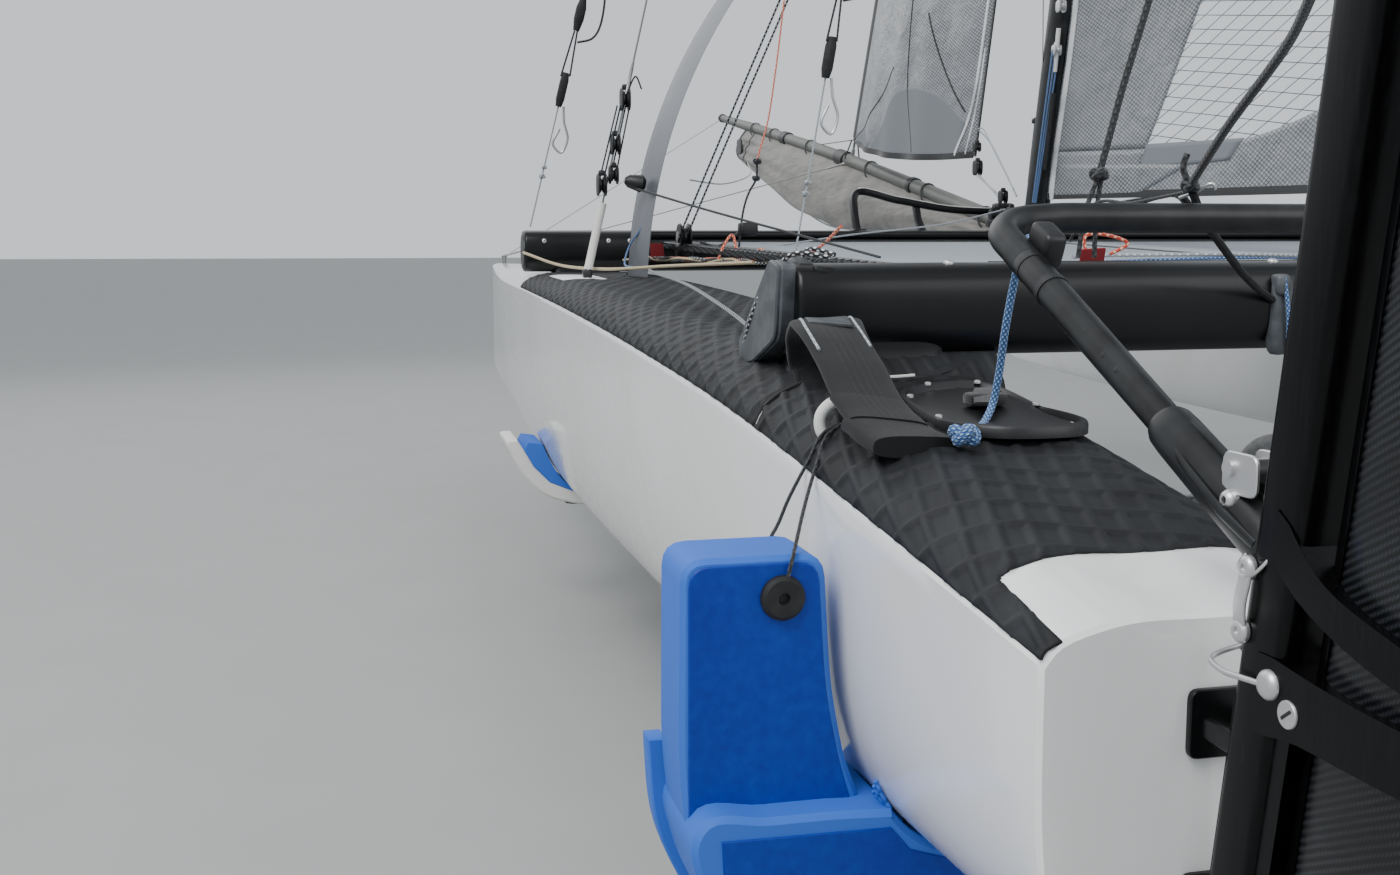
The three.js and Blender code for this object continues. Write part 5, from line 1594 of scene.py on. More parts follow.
def jib_point(u, v):
    """The jib's surface: every section is a smaller copy of the foot, arched to port and sagging."""
    stay = unit(on_mast(HOUNDS, -0.074) - FORESTAY_FOOT)
    tack = FORESTAY_FOOT + 0.07 * stay - (0.005, 0, 0)
    foot = JIB_CLEW - tack
    length = np.linalg.norm(foot)
    chord = length + (JIB["head"] - length) * v
    arch = 4 * u * (1 - u) * chord
    folds = 0.01 * np.sin(9 * np.pi * (u + 0.5 * v)) * np.exp(-v / 0.12) * u * (1 - u) * 4
    along = (v * JIB["luff"])[..., None] * stay + (u * chord)[..., None] * foot / length
    out, drop = JIB["camber"] * arch + folds, JIB["drop"] * arch
    return tack + along + out[..., None] * PORT - drop[..., None] * UP


def cloth(point, low, high, rows=30, columns=30):
    """Sailcloth between a low and a high edge, each a few (u, v) places from the luff side aft."""
    low, high = curve(low, columns), curve(high, columns)
    share = np.linspace(0, 1, rows)[:, None, None]
    uv = low * (1 - share) + high * share
    return skin(point(uv[..., 0], uv[..., 1]))


def tape(point, path, wide, thick=0.0045, across=UP, count=60):
    """A tape sewn along a line of (u, v) places on a sail, showing on both sides."""
    uv = curve(path, count)
    return sweep(point(uv[:, 0], uv[:, 1]), oval(thick / 2, wide / 2, 0.4, 12), across)


WINDOW_LOW = [(0.205, 0.015), (0.3, 0.014), (0.38, 0.015), (0.54, 0.0225), (0.66, 0.034), (0.82, 0.062)]
WINDOW_HIGH = [(0.4, 0.135), (0.61, 0.137), (0.82, 0.135)]
BATTENS = (0.155, 0.27, 0.4, 0.53, 0.66, 0.79, 0.91)


def make_sails():
    """The mainsail in its panels with a clear window, battens, tapes, head and clew, and the jib."""
    panels = [
        cloth(main_point, [(0, 0), (0.19, 0)], [(0, 0.016), (0.205, 0.015)], 10, 24),
        cloth(main_point, [(0, 0.016), (0.205, 0.015)], [(0, 0.135), (0.4, 0.135)], 60, 30),
        cloth(main_point, [(0.19, 0), (0.6, 0), (1, 0)], WINDOW_LOW + [(1, 0.075)], 16, 60),
        cloth(main_point, [(0.82, 0.062), (1, 0.075)], [(0.82, 0.135), (1, 0.135)], 16, 16),
        cloth(main_point, [(0, 0.135), (1, 0.135)], [(0, 1), (1, 1)], 120, 44),
    ]
    sail = piece("mainsail_cloth", panels, laminate_cloth, body="mainsail", replaces=["mainsail"])
    thicken(sail, 0.0016, 0.0)
    window = piece(
        "mainsail_window", cloth(main_point, WINDOW_LOW, WINDOW_HIGH, 30, 50), clear_film, body="mainsail"
    )
    thicken(window, 0.0006, 0.0)
    patches = [
        cloth(main_point, [(0.2, 0.0086), (0.38, 0.01)], [(0.205, 0.0165), (0.4, 0.016)], 6, 14),
        cloth(main_point, [(0.0, 0.945), (1, 0.945)], [(0, 1), (1, 1)], 10, 14),
        cloth(main_point, [(0.85, 0.0), (1, 0)], [(0.9, 0.04), (1, 0.05)], 10, 10)
    ]
    patch = piece("mainsail_patches", patches, grey_cloth, body="mainsail")
    thicken(patch, 0.0034, 0.0)
    corner = piece(
        "mainsail_tack_patch",
        cloth(main_point, [(0.012, 0.0005), (0.2, 0.0005)], [(0.012, 0.012), (0.3, 0.0095)], 8, 14),
        laminate_cloth, body="mainsail"
    )
    thicken(corner, 0.0036, 0.0)
    pockets = [
        tape(main_point, [(0.004, v + 0.003), (0.5, v), (0.995, v - 0.003)], 0.04, 0.008) for v in BATTENS
    ]
    piece("mainsail_battens", pockets, white_cloth, body="mainsail")
    edges = [
        tape(main_point, [(0.0, 0.0012), (0.5, 0.0012), (1, 0.0012)], 0.02, 0.004),
        tape(main_point, [(0.997, 0.0), (0.997, 0.5), (0.997, 1.0)], 0.022, 0.004, AHEAD, 160)
    ]
    piece("mainsail_edges", edges, webbing, body="mainsail")
    luff = tape(main_point, [(0.008, 0.0), (0.008, 0.5), (0.012, 1.0)], 0.034, 0.005, AHEAD, 160)
    piece("mainsail_luff_tape", luff, white_cloth, body="mainsail")
    u = np.linspace(0.0, 1.0, 20)
    board = sweep(main_point(u, np.full(20, 0.994)), oval(0.0035, 0.045, 0.3, 12), UP)
    clew = [turned(
        main_point(np.array(0.985), np.array(0.004), np.array(-0.004)), PORT,
        [(0, 0.008), (0, 0.016), (0.004, 0.018), (0.008, 0.016), (0.008, 0.008)], 24
    )]
    piece("mainsail_head_and_clew", [board, *clew], anodised_black, body="mainsail", slot="sail_laminate")

    jib = piece(
        "jib_cloth", cloth(jib_point, [(0.02, 0), (0.5, 0), (1, 0)], [(0.02, 1), (1, 1)], 120, 40),
        laminate_cloth, replaces=["jib"]
    )
    thicken(jib, 0.0014, 0.0)
    arc = cloth(
        jib_point, [(0.3, 0.002), (0.6, 0.002), (0.92, 0.002)],
        [(0.4, 0.02), (0.52, 0.041), (0.6, 0.043), (0.8, 0.036), (0.94, 0.02)], 24, 40
    )
    low = cloth(jib_point, [(0.06, 0.002), (0.3, 0.002)], [(0.08, 0.006), (0.22, 0.014)], 8, 14)
    shade = piece("jib_patches", [arc, low], grey_cloth)
    thicken(shade, 0.003, 0.0)
    lines = [
        tape(
            jib_point, [(0.68, 0.004), (0.56, 0.05), (0.5, 0.12), (0.48, 0.25)], 0.007, 0.005, AHEAD, 50
        ),
        tape(jib_point, [(0.05, 0.0025), (0.25, 0.022), (0.45, 0.055)], 0.007, 0.005, AHEAD, 30),
        tape(jib_point, [(0.66, 0.085), (0.8, 0.05), (0.93, 0.026)], 0.009, 0.005, AHEAD, 30)
    ]
    piece("jib_lines", lines, webbing)
    seams = [
        tape(jib_point, [(0.03, v), (0.5, v + 0.004), (0.985, v)], 0.018, 0.003)
        for v in (0.19, 0.34, 0.5, 0.66, 0.82)
    ]
    bright = [
        tape(jib_point, [(0.905, 0.002), (0.955, 0.03), (0.965, 0.09)], 0.02, 0.0045, AHEAD, 40),
        tape(jib_point, [(0.955, 0.002), (0.975, 0.03), (0.98, 0.06)], 0.01, 0.0055, AHEAD, 30)
    ]
    piece("jib_seams", [*seams, *bright], white_cloth)
    luff = tape(
        jib_point, [(0.012, 0.002), (0.012, 0.4), (0.02, 0.8), (0.06, 0.995)], 0.04, 0.012, AHEAD, 120
    )
    foot = tape(jib_point, [(0.1, 0.0012), (0.5, 0.0012), (0.985, 0.0012)], 0.022, 0.006)
    leech = tape(jib_point, [(0.995, 0.001), (0.995, 0.5), (0.985, 0.99)], 0.014, 0.005, AHEAD, 140)
    piece("jib_tapes", [luff, foot, leech], webbing)
    tack = jib_point(np.array(0.01), np.array(0.001))
    ties = [
        strop(tack + (0.01, 0.01, 0.0), (4.8, 0.03, 1.385), 0.006),
        strop(tack + (0.0, -0.01, 0.0), (4.79, -0.03, 1.385), 0.006),
        strop(tack + (0.01, 0.0, 0.0), (5.229, 0.0, 1.475), 0.004)
    ]
    piece("jib_tack_ties", ties, black_rope)
    clew = [
        small_block(JIB_CLEW + (-0.012, 0.0, -0.038), 0.05),
        small_block(JIB_CLEW + (-0.004, 0.0, 0.03), 0.03)
    ]
    piece("jib_clew_blocks", clew, black_plastic, slot="wire")


def pole_height(x):
    """Height of the pole's middle over a distance forward, on the smooth line through its points."""
    path = curve(POLE_PATH, 60)
    return np.interp(x, path[:, 0], path[:, 2])


def sock_points(rows=90, columns=72):
    """The sock's rings: a drop hung from the pole, widest low down. Long folds fan out from its
    mouth, and shorter ones gather it at its tail."""
    x = np.linspace(SOCK[0][0], SOCK[-1][0], rows)
    given = np.array(SOCK)
    half = through(given[:, 0], given[:, 1], x)[:, None]
    low = through(given[:, 0], given[:, 2], x)[:, None]
    high = (pole_height(x) - 0.012)[:, None]
    a = np.linspace(0, 2 * np.pi, columns, endpoint=False)[None]
    from_mouth = (SOCK[-1][0] - x)[:, None]
    folds = 0.007 * np.sin(13 * a + 1.5 * np.sin(3 * x)[:, None]) * np.exp(-(from_mouth / 0.9) ** 2)
    folds = folds + 0.004 * np.sin(9 * a + 4 * x[:, None]) * np.exp(-((x[:, None] - 3.4) / 0.5) ** 2)
    folds = folds + 0.005 * np.sin(5 * a + 6.5 * x[:, None]) * np.sin(2.3 * x[:, None] + a)
    narrow = 0.72 - 0.28 * np.sin(a)
    size = 1 + folds / half * smooth_step(0.0, 0.1, from_mouth)
    y = half * narrow * np.cos(a) * size
    z = (high + low) / 2 + (high - low) / 2 * np.sin(a) * (1 + (size - 1) * (np.sin(a) < 0))
    return np.stack([x[:, None] + 0 * a, y, z], -1)


def make_pole():
    """The pole with its collars and end, its bracket, the sock under it with its mouth, ties and
    patches, the two lines from its tip, and the arched jib track with its car."""
    path = curve(POLE_PATH, 60)
    sizes = np.interp(path[:, 0], (3.2, 6.4, 7.04), (1.0, 0.95, 0.72))
    piece(
        "pole_tube", sweep(path, oval(POLE_RADIUS, POLE_RADIUS, 1, 28), UP, sizes), pole_lacquer,
        replaces=["spinnaker_pole"]
    )
    rises = unit(np.gradient(path, axis=0))
    collars = []
    for x, wide, radius in (
        (3.3, 0.1, 0.0315), (4.096, 0.035, 0.032), (4.9, 0.11, 0.034), (5.75, 0.08, 0.0325),
        (7.02, 0.03, 0.024)
    ):
        i = int(np.argmin(np.abs(path[:, 0] - x)))
        middle = (x, 0.0, float(pole_height(x)))
        collars.append(turned(
            middle, rises[i],
            [
                (-wide / 2, radius * 0.9), (-wide / 2 + 0.003, radius), (wide / 2 - 0.003, radius),
                (wide / 2, radius * 0.9)
            ],
            28
        ))
    bracket = [
        block((3.18, 0, 1.05), (0.034, 0.03, 0.028), 0.3),
        block((3.235, 0, 1.072), (0.05, 0.031, 0.02), 0.4)
    ]
    piece("pole_collars", [*collars, *bracket], black_plastic)
    rings = sock_points()
    sock = piece(
        "sock_cloth", skin(rings, around=True), sock_cloth, sharp=70, replaces=["spinnaker_sock"]
    )
    thicken(sock, 0.0015, 0.0)
    mouth = sweep(rings[-1], oval(0.004, 0.013, 0.6, 10), (1, 0, 0.2), loop=True)
    cuff = sweep(rings[-6] * (1, 1.02, 1), oval(0.002, 0.01, 0.5, 10), (1, 0, 0.2), loop=True)
    piece("sock_mouth", [mouth, cuff], webbing, slot="grey_cloth")
    ties = []
    for x in (3.45, 3.95, 4.55, 5.35, 5.95, 6.3):
        z = float(pole_height(x))
        ring = [
            (x + 0.01 * math.sin(a), 0.033 * math.cos(a), z - 0.008 + 0.04 * math.sin(a))
            for a in np.linspace(0, 2 * np.pi, 17)[:-1]
        ]
        ties.append(sweep(ring, oval(0.002, 0.006, 0.6, 8), AHEAD, loop=True))
    piece("sock_ties", ties, black_rope, slot="grey_cloth")
    seam = rings[:, 52]
    seams = [
        sweep(seam + (0, 0, -0.001), oval(0.0015, 0.004, 0.6, 8), UP),
        sweep(seam * (1, -1, 1) + (0, 0, -0.001), oval(0.0015, 0.004, 0.6, 8), UP)
    ]
    piece("sock_seams", seams, grey_rope, slot="grey_cloth")
    patches = [block((6.36, s * 0.075, 1.545), (0.05, 0.005, 0.04), 0.5) for s in (1, -1)]
    piece("sock_patches", patches, webbing, slot="grey_cloth")
    tip = (7.02, 0.0, 1.748)
    both("tip_line", strop(tip, (5.6, 1.372, 0.985), 0.004), grey_rope)
    half = np.array(TRACK_HALF)
    ends = np.concatenate([half, [(3.226, 0.0, 1.126)], half[::-1] * (1, -1, 1)])
    rail = curve(ends, 120)
    piece(
        "jib_rail", sweep(rail, oval(0.01, 0.011, 0.35, 16), AHEAD), anodised_black,
        replaces=["jib_track"]
    )
    flat = rail[np.abs(rail[:, 1]) < 0.535] + (0.0, 0.0, 0.0115)
    piece(
        "jib_rail_top", sweep(flat, oval(0.007, 0.0016, 0.4, 8), UP), white_plastic,
        slot="black_aluminium"
    )
    legs = [
        sweep([(3.15, y, 1.055), (3.2, y, 1.1), (3.219, y, 1.14)], oval(0.011, 0.007, 0.4, 12), AHEAD)
        for y in (0.34, -0.34)
    ]
    feet = [block((3.118, y, 1.062), (0.025, 0.022, 0.01), 0.4) for y in (0.56, -0.56)]
    car = [block((3.226, 0.05, 1.14), (0.02, 0.032, 0.013), 0.4), small_block((3.226, 0.05, 1.172), 0.04)]
    piece("jib_track_legs", [*legs, *feet], anodised_black)
    piece("jib_car", car, black_plastic)


# Standing rigging, trapezes and ropes.

SHROUD_FOOT = np.array((2.62, 1.448, 0.942))
BOW_EYE = np.array((5.56, 1.38, 0.968))


def swage(first, second, start=0.0, length=0.09):
    """The steel end of a wire: a sleeve with a taper, and an eye at the start."""
    first, second = np.asarray(first, float), np.asarray(second, float)
    way = unit(second - first)
    rows = [
        (start, 0.003), (start, 0.0065), (start + 0.01, 0.007), (start + 0.014, 0.0045),
        (start + length * 0.75, 0.0042), (start + length, 0.0026)
    ]
    return turned(first, way, rows, 16)


def wire_with_ends(first, second, thick=0.004):
    """A wire with a swage at both ends."""
    return join(strop(first, second, thick, 8), swage(first, second), swage(second, first))


def waved(first, second, wide, phase, count=46, turns=7.0):
    """A slack rope between two points on a flat place: sines across it, in step with the phase."""
    t = np.linspace(0, 1, count)[:, None]
    first, second = np.asarray(first, float), np.asarray(second, float)
    across = unit(np.cross(second - first, UP))
    sway = np.sin(turns * 2 * t + phase) * 0.6 + np.sin(turns * 4.6 * t + 2.3 * phase) * 0.4
    rise = 0.5 + 0.5 * np.sin(turns * 3.1 * t + 1.7 * phase)
    return first * (1 - t) + second * t + across * sway * wide + (0, 0, 0.5) * rise * wide


def knot(place, size):
    """A knot as three crossing turns of rope."""
    a = np.linspace(0, 2 * np.pi, 41)[:-1]
    ring = np.stack(
        [np.sin(a) + 2 * np.sin(2 * a), np.cos(a) - 2 * np.cos(2 * a), -1.2 * np.sin(3 * a)], -1
    )
    return sweep(np.asarray(place) + ring * size / 6, oval(size / 3.4, size / 3.4, 1, 8), loop=True)


def trapeze(low, high, handle):
    """A trapeze's grips: an upper and a lower grip with two links between them, a hook and an adjuster cord.
    """
    low, high = np.asarray(low, float), np.asarray(high, float)
    way = unit(high - low)
    grip = [sweep(
        [low + way * (handle + d) for d in (0.0, 0.02, 0.07, 0.09)], oval(0.011, 0.016, 0.5, 16), AHEAD,
        np.array([0.7, 1.0, 1.0, 0.7])
    )]
    upper = low + way * (handle + 0.2)
    grip.append(sweep(
        [upper + way * d for d in (0.0, 0.03, 0.06, 0.09)], oval(0.013, 0.017, 0.6, 16), AHEAD,
        np.array([0.6, 1.0, 1.0, 0.5])
    ))
    link = [
        strop(low + way * (handle + 0.08) + (0, o, 0), upper + (0, 0.3 * o, 0), 0.005)
        for o in (0.012, -0.012)
    ]
    side = np.array((0.0, -0.035, 0.0))
    hook = [
        low + way * handle + side * 0.4, low + way * (handle - 0.04) + side * 0.7,
        low + way * (handle - 0.09) + side * 1.3, low + way * (handle - 0.125) + side,
        low + way * (handle - 0.105) + side * 0.3, low + way * (handle - 0.06) + side * 0.5
    ]
    loop = [
        upper + way * 0.09, upper + way * 0.13 + side * 1.1, upper + way * 0.06 + side * 1.7,
        upper - way * 0.02 + side * 1.3, upper - way * 0.03 + side * 0.3
    ]
    return grip, link, cord_shape(hook, 0.007, 40, 10), cord_shape(loop, 0.006, 36)


def make_rigging():
    """Shrouds with their adjusters, forestay, bridles, trapezes, and the hounds on the mast."""
    rope = bpy.context.scene.catamaran_sizes.rope
    top = on_mast(HOUNDS, -0.074)
    stay = unit(top - FORESTAY_FOOT)
    foot = [turned(
        FORESTAY_FOOT - (0, 0, 0.02), stay,
        [
            (0, 0.008), (0.05, 0.008), (0.055, 0.005), (0.09, 0.005), (0.095, 0.008), (0.13, 0.008),
            (0.135, 0.003)
        ],
        16
    )]
    piece(
        "forestay_wire", [wire_with_ends(FORESTAY_FOOT + 0.1 * stay, top, 0.0045), *foot], wire,
        replaces=["forestay"]
    )
    hounds = [
        block(on_mast(HOUNDS, -0.058), (0.02, 0.016, 0.035), 0.4),
        block(on_mast(HOUNDS + 0.02, -0.04, 0.024), (0.02, 0.012, 0.03), 0.4),
        block(on_mast(HOUNDS + 0.02, -0.04, -0.024), (0.02, 0.012, 0.03), 0.4)
    ]
    piece("hounds_fitting", hounds, stainless, body="mast")
    high = on_mast(HOUNDS, -0.066, 0.012)
    way = unit(high - SHROUD_FOOT)
    plate = [
        block(SHROUD_FOOT + (0, -0.002, -0.02), (0.016, 0.003, 0.055), 0.3),
        block(SHROUD_FOOT + (0, 0, 0.002), (0.008, 0.01, 0.012), 0.4)
    ]
    both("chainplate", plate, stainless)
    sleeve = sweep(
        [SHROUD_FOOT + way * d for d in (0.012, 0.02, 0.185, 0.19)], oval(0.0105, 0.0105, 1, 18)
    )
    both("shroud_sleeve", sleeve, white_plastic, slot="wire")
    blocks = [
        small_block(SHROUD_FOOT + way * d + (0, o, 0), s)
        for d, o, s in (
            (0.235, 0.012, 0.055), (0.26, -0.012, 0.045), (0.335, 0.0, 0.05), (0.445, 0.0, 0.055)
        )
    ]
    blocks.append(block(SHROUD_FOOT + way * 0.012, (0.016, 0.012, 0.012), 0.5))
    blocks.append(turned(
        SHROUD_FOOT + way * 0.235 + (0, -0.075, 0.006), (0, -1, -0.2),
        [(-0.03, 0.008), (-0.02, 0.016), (0.012, 0.022), (0.022, 0.012)], 18
    ))
    both("shroud_blocks", blocks, black_plastic, slot="wire")
    falls = [
        strop(
            SHROUD_FOOT + way * 0.25 + (0, o, 0), SHROUD_FOOT + way * 0.43 + (0, 0.8 * o, 0), rope * 0.7
        )
        for o in (-0.018, -0.006, 0.01, 0.02)
    ]
    falls.append(cord_shape(
        [
            SHROUD_FOOT + way * 0.45, SHROUD_FOOT + way * 0.5 + (0, -0.015, 0),
            SHROUD_FOOT + way * 0.47 + (0, -0.035, 0)
        ],
        rope * 0.7, 20
    ))
    both("shroud_falls", falls, black_rope)
    both(
        "shroud_wire", [strop(SHROUD_FOOT + way * 0.15, high, 0.005), swage(SHROUD_FOOT, high, 0.45)],
        wire, replaces=["shroud"]
    )
    far = np.array((4.79, 0.034, 1.365))
    eye = turned(
        BOW_EYE - (0, 0, 0.024), UP,
        [(0, 0.009), (0.03, 0.009), (0.036, 0.012), (0.044, 0.012), (0.048, 0.006)], 16
    )
    both(
        "bridle_wire", [wire_with_ends(BOW_EYE + (0, 0, 0.02), far, 0.0045), eye], wire,
        replaces=["bridle"]
    )
    for name, low, handle in (("front", (3.0, 1.543, 1.075), 0.33), ("rear", (2.25, 1.019, 1.0), 0.4)):
        end = on_mast(HOUNDS - 0.05, -0.05, 0.02)
        grips, links, hook, loop = trapeze(low, end, handle)
        both(f"{name}_trapeze_grips", grips, black_rubber)
        both(f"{name}_trapeze_hook", hook, stainless)
        both(f"{name}_trapeze_loops", [*links, loop], black_rope)
        way_up = unit(end - np.array(low))
        line = join(
            strop(low, low + way_up * handle, 0.0045), knot(low + way_up * 0.14, 0.013),
            knot(low + way_up * 0.165, 0.011)
        )
        both(f"{name}_trapeze_line", line, grey_rope)
        both(f"{name}_trapeze_wire", strop(low + way_up * (handle + 0.28), end, 0.003), wire)


# Ropes whose run is fixed: finish, thickness as a share of the rope's, and points. The falls of the
# mainsheet go with the sail, the others stay on the root body.
ROPES = {
    "cradle_line": (
        black_rope, 0.65,
        [
            (0.504, 1.496, 0.832), on_deck(0.492, 0.137, 0.009), on_deck(0.474, 0.155, 0.008),
            (0.428, 1.562, 0.76), (0.384, 1.585, 0.7285), (0.3765, 1.589, 0.7225), (0.3735, 1.594, 0.706),
            (0.3722, 1.598, 0.688)
        ]
    ),
    "cradle_return": (
        black_rope, 0.65,
        [
            (0.506, 1.5, 0.831), on_deck(0.502, 0.138, 0.009), on_deck(0.497, 0.156, 0.008),
            (0.4905, 1.56, 0.756), (0.4845, 1.5745, 0.7285), (0.48, 1.58, 0.7225), (0.4795, 1.588, 0.706),
            (0.479, 1.598, 0.69)
        ]
    ),
    "splice_line": (
        flecked_rope, 1.0,
        [
            (0.905, 1.47, 0.888), (1.12, 1.44, 0.905), (1.47, 1.424, 0.94), (2.2, 1.36, 0.962),
            (2.6, 1.3, 0.968)
        ]
    ),
    "tan_line": (
        tan_rope, 1.3,
        [
            (3.02, 1.56, 1.005), (2.8, 1.485, 0.972), (2.6, 1.41, 0.965), (2.3, 1.3, 0.975),
            (1.95, 1.2, 0.985)
        ]
    ),
    "adjuster_line": (
        black_rope, 0.9,
        [(2.6, 1.335, 1.165), (2.3, 1.215, 1.102), (2.0, 1.1, 1.045), (1.743, 1.0, 0.996)]
    ),
    "ratchet_line": (
        flecked_rope, 0.9,
        [(2.75, 1.185, 1.04), (2.7, 1.085, 1.291), (2.6, 0.956, 1.627), (2.35, 0.6, 2.55)]
    ),
    "ratchet_return": (
        flecked_rope, 0.9,
        [(2.75, 1.165, 1.04), (2.7, 1.065, 1.291), (2.6, 0.936, 1.627), (2.35, 0.585, 2.55)]
    ),
    "leader": (
        orange_rope, 0.7,
        [(2.45, 0.989, 1.6), (2.45, 1.011, 1.426), (2.45, 1.028, 1.32), (2.45, 1.055, 1.225)]
    ),
    "leader_low": (
        black_rope, 0.9,
        [(2.45, 1.055, 1.225), (2.45, 1.058, 1.178), (2.45, 1.072, 1.154), (2.45, 1.105, 0.982)]
    ),
    "slack_curve": (
        grey_rope, 0.8, [(2.9, 1.119, 1.199), (3.6, 0.86, 1.222), (4.6, 0.5, 1.3), (6.3, 0.05, 1.47)]
    ),
    "orange_loop": (
        orange_rope, 1.1,
        [
            (2.3, 1.19, 0.982), (2.3, 1.178, 1.015), (2.32, 1.15, 1.045), (2.3, 1.14, 1.0),
            (2.26, 1.125, 0.99), (2.24, 1.105, 1.012), (2.2, 1.09, 0.985), (2.15, 1.05, 0.99),
            (2.05, 1.02, 1.02), (1.98, 1.0, 1.06)
        ]
    ),
    "block_line": (
        black_rope, 1.2,
        [(2.62, 1.155, 1.03), (2.56, 1.125, 1.02), (2.5, 1.1, 1.045), (2.42, 1.09, 1.062)]
    ),
    "blue_tail": (
        blue_rope, 0.9,
        [
            (2.55, 1.3, 1.105), (2.6, 1.315, 1.06), (2.64, 1.335, 1.02), (2.62, 1.35, 0.985),
            (2.52, 1.345, 0.968)
        ]
    ),
    "far_line": (
        grey_rope, 0.9,
        [
            (0.905, 1.03, 1.0), (0.95, 0.95, 1.002), (0.85, 0.87, 1.003), (0.9, 0.6, 1.0),
            (0.88, 0.3, 1.001)
        ]
    ),
    "far_line_two": (
        blue_rope, 0.8, [(0.95, 1.05, 0.99), (0.9, 0.8, 0.998), (0.95, 0.5, 0.996), (0.9, 0.15, 0.998)]
    ),
    "orange_tag_loop": (
        orange_rope, 0.8,
        [
            (0.84, 1.045, 1.004), (0.84, 1.048, 1.026), (0.84, 1.01, 1.028), (0.84, 0.985, 1.018),
            (0.84, 1.01, 1.004)
        ]
    ),
    "jib_sheet": (grey_rope, 0.8, [(3.53, 0.006, 1.255), (3.226, 0.045, 1.165)]),
    "jib_sheet_two": (grey_rope, 0.8, [(3.53, -0.006, 1.255), (3.226, 0.06, 1.165)]),
    "jib_loop": (
        grey_rope, 0.8, [(3.54, 0.0, 1.405), (3.46, 0.02, 1.4), (3.3, 0.045, 1.31), (3.1, 0.075, 1.19)]
    ),
    "jib_loop_two": (
        grey_rope, 0.8, [(3.54, 0.0, 1.405), (3.42, 0.015, 1.36), (3.28, 0.03, 1.27), (3.12, 0.055, 1.17)]
    ),
    "track_line": (
        grey_rope, 0.8, [(3.1, 0.1, 1.13), (2.95, 0.35, 1.085), (2.8, 0.7, 1.05), (2.6, 1.1, 1.0)]
    ),
    "sheet_fall": (flecked_rope, 1.3, [(1.01, 0.012, 1.085), (0.8, 0.016, 1.018)]),
    "sheet_fall_two": (flecked_rope, 1.3, [(1.0, -0.012, 1.085), (0.795, -0.016, 1.018)]),
    "sheet_tail": (
        flecked_rope, 1.3,
        [
            (0.8, -0.02, 1.015), (0.86, -0.1, 0.999), (1.1, -0.3, 0.985), (1.35, -0.2, 0.98),
            (1.5, 0.1, 0.979)
        ]
    ),
}

# Ropes lying in a bundle along the trampoline's port edge: finish, sideways offset, phase.
BUNDLE = (
    (black_rope, -0.02, 0.3), (orange_rope, 0.0, 1.4), (flecked_rope, 0.026, 2.2),
    (orange_rope, 0.012, 3.5), (black_rope, 0.034, 4.1), (orange_rope, -0.01, 5.2),
    (flecked_rope, -0.028, 0.9), (tan_rope, 0.045, 2.9)
)


